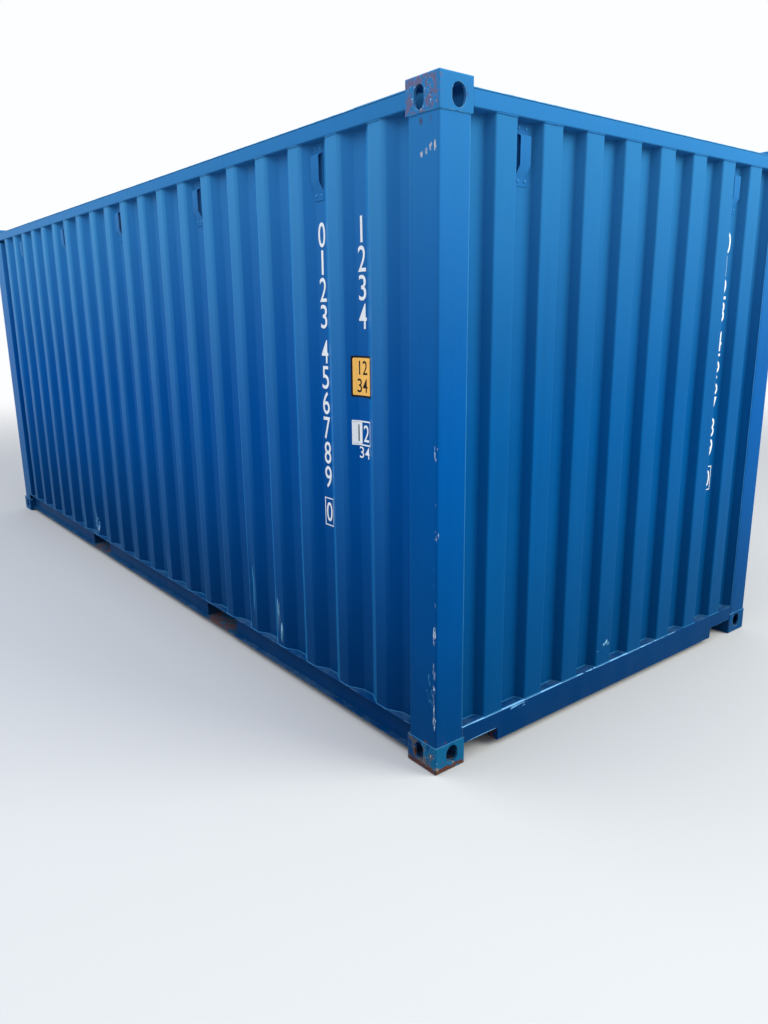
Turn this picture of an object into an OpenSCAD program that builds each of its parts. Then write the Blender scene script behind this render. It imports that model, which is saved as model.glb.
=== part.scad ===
// Closed steel shipping container, twenty feet long, with corrugated walls and small vents.
// X runs along it with the blind front wall at +X and the doors at -X.
// Right is -Y and left is +Y, as seen from the doors. Z is up, and the origin is under
// the middle, level with the feet of the corner castings.

/* [Overall] */
// Length over the corner castings
length = 6058; // [4600:1:12192]
// Width over the corner castings
width = 2438; // [2100:1:2600]
// Height over the corner castings
height = 2591; // [2300:1:2896]

/* [Corner castings] */
// Length of a casting along the container
casting_l = 178; // [172:1:190]
// Width of a casting across the container
casting_w = 162; // [156:1:175]
// Height of a casting
casting_h = 118; // [116:1:130]
// Thickness of the face that holds the lock slot
casting_face = 28.5; // [26:0.5:30]
// Thickness of the other walls of a casting
casting_wall = 10; // [8:0.5:12]
// Length of the lock slot along the container
lock_slot_l = 124.5; // [118:0.5:128]
// Width of the lock slot
lock_slot_w = 63.5; // [58:0.5:66]
// Lock slot centre from the end face of the casting
lock_from_end = 102.5; // [100:0.5:104]
// Lock slot centre from the side face of the casting
lock_from_side = 89.5; // [87:0.5:92]
// Width of the hole in the end face
end_hole_w = 63.5; // [56:0.5:66]
// Width of the hole in the side face
side_hole_w = 51; // [46:0.5:56]
// Radius of the outer edges of a casting
casting_ease = 8; // [4:0.5:9]

/* [Posts and top rails] */
// How far the castings stand proud of the posts and rails
proud = 4; // [3:0.5:8]
// Width of a front post on the side of the container
post_side_w = 161; // [150:1:166]
// Width of a front post on the front of the container
post_end_w = 147; // [135:1:150]
// Thickness of the pressed posts
post_t = 6; // [4:0.5:8]
// Depth of the return flange of a post
post_return = 46; // [30:1:47]
// Outer radius of the bends in a post
post_bend = 9; // [7:0.5:14]
// Width of a rear post on the side of the container
rear_side_w = 248; // [190:1:260]
// Depth of the return flange of a rear post
rear_return = 43; // [30:1:44]
// Lap of the pressed skin of a rear post over its channel
rear_lap = 24; // [16:1:30]
// Thickness of the channel of a rear post
channel_t = 10; // [8:1:12]
// Height and width of the square top rails
top_rail = 60; // [50:1:70]
// Wall of the top rails
top_rail_t = 3; // [2:0.5:5]
// Top of the rails below the top of the castings
top_rail_drop = 36; // [30:1:45]
// Outer radius of the rail corners
rail_radius = 6; // [4:0.5:9]

/* [Base frame] */
// Height of the top of the base frame above the feet of the castings
base_top = 164; // [156:1:175]
// Height of the underside of the side rails above the feet
side_rail_z = 32; // [20:1:40]
// Width of the upper flange of a side rail
side_rail_flange = 48; // [46:1:60]
// Width of the lower lip of a side rail
side_rail_lip = 30; // [20:1:40]
// Sheet of the side rails
side_rail_t = 4.5; // [3:0.5:6]
// Height of the underside of the end sills above the feet
sill_z = 27; // [20:1:34]
// Top of the door sill below the top of the base frame
sill_drop = 8; // [4:1:20]
// Depth of the end sills along the container
sill_d = 58; // [56:1:80]
// Sheet of the end sills
sill_t = 4; // [3:0.5:6]
// Width of the notch in a sill beside each casting
sill_notch_w = 200; // [150:1:260]
// Height of the notch top above the feet
sill_notch_z = 88; // [75:1:100]
// Height of the floor above the feet
floor_top = 167; // [160:1:175]
// Thickness of the plywood floor
floor_t = 28; // [20:1:32]
// Gap along the edges of the floor
floor_gap = 3; // [2:0.5:6]
// Greatest spacing of the cross members
cross_pitch = 290; // [220:5:320]
// Flange width of a cross member
cross_flange = 45; // [35:1:60]
// Sheet of the cross members
cross_t = 4; // [3:0.5:6]

/* [Fork pockets] */
// Distance between the pocket centres
pocket_spacing = 2050; // [1900:5:2200]
// Middle of the pair of pockets in front of the middle of the container
pocket_shift = 60; // [0:5:80]
// Clear width of a pocket
pocket_w = 370; // [320:1:400]
// Flange width of the channels beside a pocket
pocket_flange = 75; // [50:1:90]
// Width of the strap under each mouth of a pocket
strap_w = 200; // [100:5:300]
// Thickness of the strap
strap_t = 6; // [4:0.5:8]
// Reach of the strap beyond the web of a side rail
strap_reach = 26; // [10:1:28]
// Thickness of the plate over a pocket
pocket_plate_t = 3; // [2:0.5:5]

/* [Walls] */
// How far the outer flats of the walls lie behind the posts
wall_set = 4; // [1:0.5:4]
// Sheet of the walls
wall_t = 2; // [1.5:0.1:3]
// Least room left for the half recesses beside the last ribs
rib_room = 20; // [10:1:40]
// Pitch of the side wall ribs
side_pitch = 278; // [250:1:300]
// Middle of the side wall ribs in front of the middle of the container
side_shift = 30; // [20:1:40]
// Flat of a side wall rib
side_flat = 72; // [50:1:90]
// Slope of a side wall rib along the wall
side_slope = 68; // [50:1:75]
// Depth of the side wall ribs
side_depth = 36; // [25:1:36]
// Pitch of the front wall ribs
front_pitch = 253; // [220:1:280]
// Flat of a front wall rib
front_flat = 110; // [80:1:130]
// Slope of a front wall rib along the wall
front_slope = 18; // [12:1:40]
// Depth of the front wall ribs
front_depth = 45.6; // [30:0.1:46]

/* [Roof] */
// Pitch of the roof ribs
roof_pitch = 209; // [180:1:240]
// Flat of a roof rib
roof_flat = 91; // [60:1:110]
// Slope of a roof rib
roof_slope = 13.5; // [10:0.5:25]
// Height of the roof ribs
roof_depth = 20; // [12:1:24]
// Length of the taper at each end of a roof rib
roof_taper = 40; // [30:1:60]
// Plain margin of the roof beside the ribs
roof_margin = 75; // [66:1:120]
// Sheet of the roof
roof_t = 2; // [1.5:0.1:3]
// Length of a corner plate on the roof
corner_plate_l = 300; // [220:5:400]
// Width of a corner plate on the roof
corner_plate_w = 70; // [50:1:72]
// Thickness of a corner plate
corner_plate_t = 3; // [2:0.5:5]

/* [Vents] */
// Ribs from one side wall vent to the next
vent_step = 4; // [2:1:5]
// Vents on each side wall
side_vents = 5; // [1:2:5]
// Height of a vent
vent_h = 216; // [180:1:240]
// Width of a vent flange
vent_w = 66; // [50:1:68]
// Width of the hood of a vent
hood_w = 56; // [36:1:56]
// Depth of the hood
hood_depth = 20; // [12:1:28]
// Plain flange below the hood
hood_foot = 39; // [25:1:50]
// Plain flange above the hood
hood_head = 35; // [25:1:50]
// Height of the slope at the foot of the hood
hood_rise = 32; // [20:1:45]
// Height of the slope at the head of the hood
hood_fall = 10; // [5:1:20]
// Sheet of a vent
vent_t = 2; // [1.5:0.1:3]
// Top of a vent below the top rail
vent_drop = 6; // [2:1:40]

/* [Doors] */
// Outer face of the doors behind the end face of the castings
door_set = 52; // [50:1:56]
// Face of a rear post behind the end face of the castings
rear_post_set = 38; // [32:1:42]
// Width of a rear post on the door end
rear_post_w = 45; // [40:1:46]
// Depth of the door header and of the door sill along the container
header_d = 100; // [80:1:110]
// Height of the door header
header_h = 122; // [105:1:140]
// Sheet of the door header
header_t = 4; // [3:0.5:6]
// Gap round each door leaf, which the seal fills
door_gap = 10; // [8:1:14]
// Thickness of a door leaf
leaf_t = 50; // [40:1:60]
// Width of the upright tubes of a leaf
stile_w = 100; // [80:1:120]
// Height of the top and bottom channels of a leaf
crossbar_h = 150; // [120:1:170]
// Wall of the tubes of a leaf
leaf_wall = 3.2; // [2.5:0.1:5]
// Pitch of the door panel ribs
door_pitch = 380; // [330:1:420]
// Flat of a door panel rib
door_flat = 150; // [120:1:180]
// Slope of a door panel rib
door_slope = 50; // [40:1:70]
// Depth of the door panel ribs
door_depth = 36; // [25:1:36]
// Depth of the door seals
seal_d = 32; // [20:1:40]

/* [Door gear] */
// Diameter of the lock rods
rod_d = 34; // [28:1:36]
// Rod axis from the face of the door
rod_off = 22; // [20:1:24]
// Inner rod from the middle of the container
rod_inner = 190; // [150:1:260]
// Outer rod from the middle of the container
rod_outer = 870; // [800:1:900]
// Running clearance of a rod in its brackets
rod_clear = 0.5; // [0.3:0.1:1]
// Wall of the collars round a rod
collar_t = 6; // [4:0.5:8]
// Width of a rod bracket
bracket_w = 74; // [64:1:90]
// Height of a rod bracket
bracket_h = 40; // [30:1:60]
// Thickness of the plate of a rod bracket
bracket_t = 4; // [3:0.5:6]
// Width of a cam
cam_w = 20; // [16:1:26]
// Height of a cam
cam_h = 22; // [16:1:40]
// Height of a cam keeper
keeper_h = 56; // [46:1:60]
// Thickness of a keeper cheek
keeper_t = 10; // [8:1:14]
// Clearance between a rod and the keeper cheeks
keeper_clear = 1; // [0.5:0.5:2]
// Length of a door handle
handle_l = 310; // [250:5:320]
// Height of a handle bar
handle_h = 26; // [20:1:40]
// Thickness of a handle bar
handle_t = 10; // [6:1:12]
// Reach of a handle collar above and below the bar
collar_over = 8; // [4:1:12]
// Width of a handle catch
catch_w = 30; // [20:1:40]
// Middle of a catch from the tip of the handle
catch_in = 40; // [25:1:60]
// Sheet of a catch
catch_t = 4; // [3:0.5:6]
// Thickness of the shelf and the lip of a catch
catch_shelf = 6; // [4:0.5:8]
// Reach of a catch below the handle bar
catch_tail = 50; // [30:1:70]
// Reach of a catch above the handle bar
catch_head = 24; // [16:1:40]
// Height of the lip of a catch
catch_lip = 14; // [8:1:20]
// Play between a handle bar and the lip of its catch
catch_play = 2; // [1:0.5:4]
// Hinges on each leaf
hinges = 4; // [3:1:5]
// Diameter of a hinge pin
pin_d = 16; // [12:1:18]
// Wall of a hinge knuckle round its pin
knuckle_t = 6; // [4:0.5:8]
// Height of a hinge lug
lug_h = 14; // [10:1:20]
// Reach of a hinge pin beyond the lugs
pin_over = 6; // [3:1:10]
// Height of a hinge blade
blade_h = 160; // [120:1:200]
// Thickness of a hinge blade
blade_t = 8; // [6:1:10]
// Length of a hinge blade on the leaf
blade_l = 60; // [40:1:90]
// Lap of the crank of a blade over the post and the leaf
crank_lap = 3; // [2:0.5:4]

/* [Hidden] */
$fn = 48;

blue = [0.09, 0.30, 0.56];
deep_blue = [0.06, 0.22, 0.44];
zinc = [0.62, 0.64, 0.66];
ply = [0.56, 0.43, 0.28];
black = [0.08, 0.08, 0.09];
rust = [0.42, 0.24, 0.14];
FRONT = 1;
REAR = -1;
LEFT = 1;
RIGHT = -1;
eps = 1;

half_l = length / 2;
half_w = width / 2;
wall_plane = proud + wall_set;
rail_under = height - top_rail_drop - top_rail;
rail_over = height - top_rail_drop;
side_end = proud + post_side_w;
front_end = proud + post_end_w;
rear_end = proud + rear_side_w;
web_in = proud + side_rail_flange;
cross_top = floor_top - floor_t;
cross_h = cross_top - side_rail_z;
hole_h = casting_h - casting_face - casting_wall;
opening_w = half_w - proud - rear_post_w;
sill_top = base_top - sill_drop;
header_z = rail_over - header_h;
leaf_w = opening_w - door_gap * 3 / 2;
leaf_h = header_z - sill_top - 2 * door_gap;
leaf_z = sill_top + door_gap;
leaf_mid = leaf_z + leaf_h / 2;
rod_u = door_set - rod_off;
collar_d = rod_d + 2 * collar_t;
pocket_edge = pocket_w / 2 + pocket_flange;
seat = 0.3;
floor_front = half_l - proud - sill_d - floor_gap;
floor_rear = half_l - door_set - header_d - floor_gap;

function pocket_at(end) = pocket_shift + end * pocket_spacing / 2;

// Helpers for pressed sheet: a path is the outer skin, and the sheet lies on its left
function unit(v) = v / norm(v);
function turned(v, a) = [v.x * cos(a) - v.y * sin(a), v.x * sin(a) + v.y * cos(a)];
function left_of(a, b) = let (d = unit(b - a)) [-d.y, d.x];
function backwards(list) = [for (i = [len(list) - 1:-1:0]) list[i]];

function bend(a, b, c, r, n) =
    let (
        u = unit(a - b),
        w = unit(c - b),
        half = acos(u * w) / 2,
        centre = b + unit(u + w) * r / sin(half),
        start = b + u * r / tan(half),
        way = sign(cross(-u, w))
    )
    [for (i = [0:n]) centre + turned(start - centre, way * (180 - 2 * half) * i / n)];

function rounded(path, r, n = 4) = [
    path[0],
    for (i = [1:len(path) - 2]) each bend(path[i - 1], path[i], path[i + 1], r, n),
    path[len(path) - 1]
];

function skin_inside(path, t) =
    let (last = len(path) - 1)
    [
        for (i = [0:last])
            let (
                n0 = left_of(path[max(i - 1, 0)], path[max(i, 1)]),
                n1 = left_of(path[min(i, last - 1)], path[min(i + 1, last)]),
                m = unit(n0 + n1)
            )
            path[i] + m * t / (m * n0)
    ];

function sheet(path, t) = concat(path, backwards(skin_inside(path, t)));

function round_rect(w, h, r, n = 4) = [
    for (k = [0:3])
        let (
            cx = (k == 0 || k == 3) ? w - r : r,
            cy = k < 2 ? h - r : r
        )
        for (i = [0:n]) [cx, cy] + turned([r, 0], 90 * k + 90 * i / n)
];

// How many ribs fit along this much of a wall, and their skin line: outer flats at depth 0
function rib_count(run, pitch, flat, slope) =
    floor((run - flat - 2 * slope - rib_room) / pitch) + 1;

function rib_line(n, middle, pitch, flat, slope, depth) = [
    for (i = [0:n - 1])
        let (c = middle + (i - (n - 1) / 2) * pitch)
        for (s = [[-1, 1], [-1, 0], [1, 0], [1, 1]])
            [c + s.x * (flat / 2 + s.y * slope), s.y * depth]
];

// A wall that rises to its outer plane again at both ends
function ribs(half, pitch, flat, slope, depth) =
    concat(
        [[-half, 0], [-half + slope, depth]],
        rib_line(rib_count(2 * (half - slope), pitch, flat, slope), 0, pitch, flat, slope, depth),
        [[half - slope, depth], [half, 0]]
    );

// A corner frame: x runs inward from the end face, y inward from the side face
module corner(end, side, z = 0) {
    translate([end * half_l, side * half_w, z])
        mirror([end == FRONT ? 1 : 0, 0, 0])
            mirror([0, side == LEFT ? 1 : 0, 0])
                children();
}

module upside_down() {
    translate([0, 0, height]) mirror([0, 0, 1]) children();
}

module along_x(l) {
    rotate([90, 0, 90]) linear_extrude(l, center = true) children();
}

module along_y(l) {
    rotate([90, 0, 0]) linear_extrude(l, center = true) children();
}

module tube(w, h, t, r) {
    difference() {
        polygon(round_rect(w, h, r));
        translate([t, t]) polygon(round_rect(w - 2 * t, h - 2 * t, max(r - t, 1)));
    }
}

// The space that the eight castings take
module casting_space() {
    for (end = [FRONT, REAR], side = [RIGHT, LEFT], z = [0, height - casting_h])
        corner(end, side, z) translate([-eps, -eps, z == 0 ? -eps : 0])
            cube([casting_l + eps, casting_w + eps, casting_h + eps]);
}

// Corner castings
module stadium(l, w, h) {
    for (s = [-1, 1]) translate([s * (l - w) / 2, 0, 0]) cylinder(d = w, h = h);
    translate([-(l - w) / 2, -w / 2, 0]) cube([l - w, w, h]);
}

// A rectangle with rounded corners at its foot, and at its head too if all is true
module eased_square(w, h, all) {
    r = casting_ease;
    for (x = [r, w - r]) {
        translate([x, r]) circle(r);
        if (all) translate([x, h - r]) circle(r);
    }
    translate([r, 0]) square([w - 2 * r, h]);
    translate([0, r]) square([w, all ? h - 2 * r : h - r]);
}

// A casting lies with its lock slot down, and keeps a square edge where the post is welded on
module casting_body() {
    intersection() {
        linear_extrude(casting_h) eased_square(casting_l, casting_w, true);
        translate([0, casting_w, 0]) rotate([90, 0, 0])
            linear_extrude(casting_w) eased_square(casting_l, casting_h, false);
        rotate([90, 0, 90]) linear_extrude(casting_l) eased_square(casting_w, casting_h, false);
    }
}

module casting() {
    mid_z = casting_face + hole_h / 2;
    color(deep_blue) difference() {
        casting_body();
        translate([casting_wall, casting_wall, casting_face])
            cube([casting_l - 2 * casting_wall, casting_w - 2 * casting_wall, hole_h]);
        translate([lock_from_end, lock_from_side, -eps])
            stadium(lock_slot_l, lock_slot_w, casting_face + 2 * eps);
        translate([-eps, lock_from_side, mid_z]) rotate([0, 90, 0])
            stadium(hole_h, end_hole_w, casting_wall + 2 * eps);
        translate([lock_from_end, -eps, mid_z]) rotate([0, 90, 90])
            stadium(hole_h, side_hole_w, casting_wall + 2 * eps);
    }
}

// Corner posts
module front_post() {
    path = rounded([
        [post_return, front_end], [proud, front_end], [proud, proud],
        [side_end, proud], [side_end, proud + post_return]
    ], post_bend);
    color(blue) translate([0, 0, casting_h])
        linear_extrude(height - 2 * casting_h) polygon(sheet(path, post_t));
}

module rear_post() {
    lap = rear_post_set + rear_lap;
    skin = rounded([
        [lap, proud + rear_post_w], [rear_post_set, proud + rear_post_w],
        [rear_post_set, proud], [rear_end, proud], [rear_end, proud + rear_return]
    ], post_bend);
    color(blue) difference() {
        translate([0, 0, casting_h]) linear_extrude(height - 2 * casting_h) {
            polygon(sheet(skin, post_t));
            translate([lap, proud + rear_post_w - channel_t])
                square([rear_end - lap - post_t, channel_t]);
        }
        for (z = [base_top - height, rail_under])
            translate([casting_l, 0, z]) cube([rear_side_w, casting_w, height]);
    }
}

// Top rails
module side_top_rail() {
    color(blue) translate([0, -half_w + proud, rail_under])
        along_x(length - 2 * casting_l) tube(top_rail, top_rail, top_rail_t, rail_radius);
}

module front_top_rail() {
    color(blue) translate([half_l - proud - top_rail, 0, rail_under])
        along_y(width - 2 * casting_w) tube(top_rail, top_rail, top_rail_t, rail_radius);
}

module door_header() {
    color(blue) difference() {
        translate([-half_l + door_set, 0, header_z])
            along_y(2 * opening_w) tube(header_d, header_h, header_t, rail_radius);
        casting_space();
    }
}

// Base frame
module side_bottom_rail() {
    h = base_top - side_rail_z;
    path = rounded([
        [side_rail_flange - side_rail_lip, 0], [side_rail_flange, 0],
        [side_rail_flange, h], [0, h]
    ], rail_radius);
    color(blue) difference() {
        translate([0, -half_w + proud, side_rail_z])
            along_x(length - 2 * side_end) polygon(sheet(path, side_rail_t));
        casting_space();
        for (end = [FRONT, REAR])
            translate([pocket_at(end) - pocket_w / 2, -half_w, 0])
                cube([pocket_w, web_in + eps, cross_top - pocket_plate_t]);
    }
}

module sill(d, top, reach) {
    path = rounded([[d, top], [0, top], [0, sill_z], [d, sill_z]], rail_radius);
    notch_end = half_w - casting_w - sill_notch_w;
    difference() {
        along_y(2 * reach) polygon(sheet(path, sill_t));
        for (s = [-1, 1]) translate([-eps, s * (notch_end + half_w) / 2, sill_notch_z / 2])
            cube([2 * (d + 2 * eps), half_w - notch_end, sill_notch_z], center = true);
    }
    for (s = [-1, 1]) {
        translate([sill_t, s > 0 ? notch_end : -half_w + casting_w, sill_notch_z])
            cube([d - sill_t, sill_notch_w, sill_t]);
        translate([sill_t, s > 0 ? notch_end - sill_t : -notch_end, sill_z + sill_t])
            cube([d - sill_t, sill_t, sill_notch_z - sill_z]);
    }
}

module front_sill() {
    color(blue) difference() {
        translate([half_l - proud, 0, 0]) mirror([1, 0, 0])
            sill(sill_d, base_top, half_w - front_end);
        casting_space();
    }
}

module door_sill() {
    color(blue) difference() {
        translate([-half_l + door_set, 0, 0]) sill(header_d, sill_top, opening_w);
        casting_space();
    }
}

module cross_member(flange) {
    path = rounded([[flange, cross_h], [0, cross_h], [0, 0], [flange, 0]], rail_radius);
    along_y(2 * (half_w - web_in)) polygon(sheet(path, cross_t));
}

module cross_group(from, to) {
    n = ceil((to - from) / cross_pitch) - 1;
    color(blue) for (i = [1:n])
        translate([from + (to - from) * i / (n + 1) - cross_flange / 2, 0, side_rail_z])
            cross_member(cross_flange);
}

module front_cross_members() { cross_group(pocket_at(FRONT) + pocket_edge, floor_front); }
module middle_cross_members() {
    cross_group(pocket_at(REAR) + pocket_edge, pocket_at(FRONT) - pocket_edge);
}
module rear_cross_members() { cross_group(-floor_rear, pocket_at(REAR) - pocket_edge); }

module fork_pocket(end) {
    color(blue) translate([pocket_at(end), 0, side_rail_z]) {
        for (s = [0, 1]) mirror([s, 0, 0]) translate([pocket_w / 2, 0, 0]) cross_member(pocket_flange);
        translate([-pocket_w / 2, -half_w + web_in, cross_h - pocket_plate_t])
            cube([pocket_w, width - 2 * web_in, pocket_plate_t]);
    }
    color(rust) for (s = [0, 1]) mirror([0, s, 0])
        translate([pocket_at(end) - pocket_w / 2, -half_w + web_in - strap_reach, side_rail_z])
            cube([pocket_w, strap_w, strap_t]);
}

module floor_boards() {
    color(ply) translate([-floor_rear, -half_w + web_in + floor_gap, cross_top])
        cube([floor_rear + floor_front, width - 2 * (web_in + floor_gap), floor_t]);
}

// Walls
module side_wall() {
    n = rib_count(length - side_end - rear_end, side_pitch, side_flat, side_slope);
    skin = concat(
        [[-half_l + rear_end, side_depth]],
        rib_line(n, side_shift, side_pitch, side_flat, side_slope, side_depth),
        [[half_l - side_end, side_depth]]
    );
    color(blue) translate([0, -half_w + wall_plane, base_top])
        linear_extrude(rail_under - base_top) polygon(sheet(skin, wall_t));
}

module front_wall() {
    skin = ribs(half_w - front_end, front_pitch, front_flat, front_slope, front_depth);
    color(blue) difference() {
        translate([half_l - wall_plane, 0, base_top]) rotate([0, 0, 90])
            linear_extrude(rail_under - base_top) polygon(sheet(skin, wall_t));
        casting_space();
    }
}

// Roof: the ribs are pressed up out of one sheet and taper down at both ends
module roof_ribs(inset) {
    run = half_l - proud - top_rail - roof_margin;
    n = floor((2 * run - roof_flat) / roof_pitch) + 1;
    top = roof_depth - inset;
    intersection() {
        along_y(width) for (i = [0:n - 1])
            translate([(i - (n - 1) / 2) * roof_pitch, 0]) polygon([
                [-roof_flat / 2 - roof_slope + inset, -inset - eps],
                [roof_flat / 2 + roof_slope - inset, -inset - eps],
                [roof_flat / 2 + roof_slope - inset, 0],
                [roof_flat / 2 - inset, top],
                [-roof_flat / 2 + inset, top],
                [-roof_flat / 2 - roof_slope + inset, 0]
            ]);
        along_x(length) polygon([
            [-half_w + roof_margin + inset, -inset - eps],
            [half_w - roof_margin - inset, -inset - eps],
            [half_w - roof_margin - inset, 0],
            [half_w - roof_margin - inset - roof_taper, top],
            [-half_w + roof_margin + inset + roof_taper, top],
            [-half_w + roof_margin + inset, 0]
        ]);
    }
}

module roof_sheet() {
    color(blue) translate([0, 0, rail_over + roof_t]) difference() {
        union() {
            translate([-half_l + door_set, -half_w + proud, -roof_t])
                cube([length - door_set - proud, width - 2 * proud, roof_t]);
            roof_ribs(0);
        }
        roof_ribs(roof_t);
        translate([0, 0, -rail_over - roof_t]) casting_space();
    }
}

module roof_corner_plates() {
    color(blue) for (end = [FRONT, REAR], side = [RIGHT, LEFT])
        corner(end, side, rail_over + roof_t) translate([casting_l + eps, proud, 0])
            cube([corner_plate_l, corner_plate_w, corner_plate_t]);
}

// Vents: a flange on the recess of the wall, and a hood that is open at both sides
module vent() {
    hood_top = vent_h - hood_head;
    hood = [
        [0, hood_foot], [hood_depth, hood_foot + hood_rise],
        [hood_depth, hood_top - hood_fall], [0, hood_top]
    ];
    color(blue) {
        translate([-vent_w / 2, 0, 0]) cube([vent_w, vent_t, vent_h]);
        mirror([0, 1, 0]) rotate([90, 0, 90])
            linear_extrude(hood_w, center = true) polygon(sheet(hood, vent_t));
    }
}

module side_vents() {
    for (i = [0:side_vents - 1])
        translate([
            side_shift + (i - (side_vents - 1) / 2) * vent_step * side_pitch,
            -half_w + wall_plane + side_depth - vent_t,
            rail_under - vent_drop - vent_h
        ]) vent();
}

module front_vents() {
    n = rib_count(2 * (half_w - front_end - front_slope), front_pitch, front_flat, front_slope);
    for (s = [-1, 1])
        translate([
            half_l - wall_plane - front_depth + vent_t,
            s * (n / 2 - 1) * front_pitch,
            rail_under - vent_drop - vent_h
        ]) rotate([0, 0, 90]) vent();
}

// Doors: built shut, with x running out of the container from the door face
module at_door(side) {
    translate([-half_l + door_set, side * (door_gap / 2), 0])
        mirror([0, side == LEFT ? 0 : 1, 0]) children();
}

module door_frame(side) {
    inner_w = leaf_w - 2 * stile_w;
    bar = sheet([[leaf_t, crossbar_h], [0, crossbar_h], [0, 0], [leaf_t, 0]], leaf_wall);
    color(blue) at_door(side) translate([0, 0, leaf_z]) {
        for (y = [0, leaf_w - stile_w]) translate([0, y, 0])
            linear_extrude(leaf_h) tube(leaf_t, stile_w, leaf_wall, rail_radius);
        for (z = [0, leaf_h - crossbar_h])
            translate([0, leaf_w / 2, z]) along_y(inner_w) polygon(bar);
    }
}

module door_panel(side) {
    panel_h = leaf_h - 2 * crossbar_h;
    skin = ribs(panel_h / 2, door_pitch, door_flat, door_slope, door_depth);
    color(blue) at_door(side) translate([0, leaf_w / 2, leaf_mid])
        rotate([0, -90, 0]) mirror([0, 0, 1]) rotate([90, 0, 0])
            linear_extrude(leaf_w - 2 * stile_w, center = true) polygon(sheet(skin, wall_t));
}

module door_seals() {
    color(black) translate([-half_l + door_set + leaf_t - seal_d, 0, 0]) difference() {
        translate([0, -opening_w, sill_top])
            cube([seal_d, 2 * opening_w, header_z - sill_top]);
        for (s = [-1, 1])
            translate([-eps, s > 0 ? door_gap / 2 : -door_gap / 2 - leaf_w, leaf_z])
                cube([seal_d + 2 * eps, leaf_w, leaf_h]);
    }
}

// A hinge: two lugs on the post, a pin, and a cranked blade that laps onto the leaf
module hinge() {
    knuckle_d = pin_d + 2 * knuckle_t;
    pin_u = rear_post_set - knuckle_d / 2;
    pin_v = proud + rear_post_w / 2;
    post_edge = proud + rear_post_w;
    leaf_edge = post_edge + door_gap;
    pin_h = blade_h + 2 * (lug_h + pin_over);
    path = [
        [pin_u + blade_t / 2, pin_v], [pin_u + blade_t / 2, post_edge - crank_lap],
        [door_set, leaf_edge + crank_lap], [door_set, leaf_edge + blade_l]
    ];
    translate([pin_u, pin_v, -pin_h / 2]) cylinder(d = pin_d, h = pin_h);
    translate([pin_u, pin_v, -blade_h / 2]) cylinder(d = knuckle_d, h = blade_h);
    translate([0, 0, -blade_h / 2]) linear_extrude(blade_h) polygon(sheet(path, blade_t));
    for (z = [-blade_h / 2 - lug_h - eps, blade_h / 2 + eps]) translate([pin_u, pin_v, z]) {
        cylinder(d = knuckle_d, h = lug_h);
        translate([0, -knuckle_d / 2, 0]) cube([rear_post_set - pin_u, knuckle_d, lug_h]);
    }
}

module door_hinges() {
    color(blue) for (side = [RIGHT, LEFT], i = [0:hinges - 1])
        corner(REAR, side, leaf_z + leaf_h * (i + 0.5) / hinges) hinge();
}

// Lock rods stand outside the leaves: x runs into the container, y away from the middle
module each_rod() {
    for (s = [0, 1], y = [rod_inner, rod_outer])
        mirror([0, s, 0]) translate([-half_l + rod_u, y, 0]) children();
}

module lock_rods() {
    cam = [rod_off - seat, cam_w, cam_h];
    color(zinc) each_rod() {
        translate([0, 0, sill_top - keeper_h])
            cylinder(d = rod_d, h = header_z - sill_top + 2 * keeper_h);
        for (z = [sill_top - keeper_h, header_z])
            translate([0, -cam.y / 2, z + (keeper_h - cam.z) / 2]) cube(cam);
    }
}

module rod_brackets() {
    low = leaf_z + crossbar_h / 2;
    high = leaf_z + leaf_h - crossbar_h / 2;
    color(zinc) each_rod() for (z = [low, leaf_mid - door_pitch, leaf_mid + door_pitch, high])
        translate([0, 0, z - bracket_h / 2]) difference() {
            union() {
                cylinder(d = collar_d, h = bracket_h);
                translate([0, -collar_d / 2, 0]) cube([rod_off, collar_d, bracket_h]);
                translate([rod_off - bracket_t, -bracket_w / 2, 0])
                    cube([bracket_t, bracket_w, bracket_h]);
            }
            translate([0, 0, -eps]) cylinder(d = rod_d + 2 * rod_clear, h = bracket_h + 2 * eps);
        }
}

module cam_keepers() {
    reach = rod_off / 2;
    color(zinc) each_rod() for (z = [sill_top - keeper_h, header_z], s = [0, 1])
        mirror([0, s, 0]) translate([-reach, rod_d / 2 + keeper_clear, z])
            cube([rod_off + reach, keeper_t, keeper_h]);
}

// A handle: a collar on the rod, and a flat bar that lies in a catch on the middle rib
module door_handles() {
    color(zinc) for (s = [0, 1], i = [0, 1])
        mirror([0, s, 0]) translate([-half_l + rod_u, [rod_inner, rod_outer][i], leaf_mid - handle_h / 2])
            mirror([0, i, 0]) {
                difference() {
                    union() {
                        translate([0, 0, -collar_over])
                            cylinder(d = collar_d, h = handle_h + 2 * collar_over);
                        translate([-handle_t / 2, 0, 0]) cube([handle_t, handle_l, handle_h]);
                    }
                    translate([0, 0, -collar_over - eps])
                        cylinder(d = rod_d + 2 * rod_clear, h = handle_h + 2 * (collar_over + eps));
                }
            }
}

module handle_catches() {
    lip = rod_off + handle_t / 2 + catch_play;
    out = lip + catch_shelf;
    shelf = -seat - catch_shelf;
    top = handle_h + catch_head;
    hook = [
        [0, -catch_tail], [catch_t, -catch_tail], [catch_t, shelf], [out, shelf],
        [out, catch_lip], [lip, catch_lip], [lip, -seat], [catch_t, -seat], [catch_t, top], [0, top]
    ];
    reach = handle_l - catch_in;
    color(zinc) for (s = [0, 1], y = [rod_inner + reach, rod_outer - reach])
        mirror([0, s, 0]) translate([-half_l + door_set, y, leaf_mid - handle_h / 2])
            mirror([1, 0, 0]) along_y(catch_w) polygon(hook);
}

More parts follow.
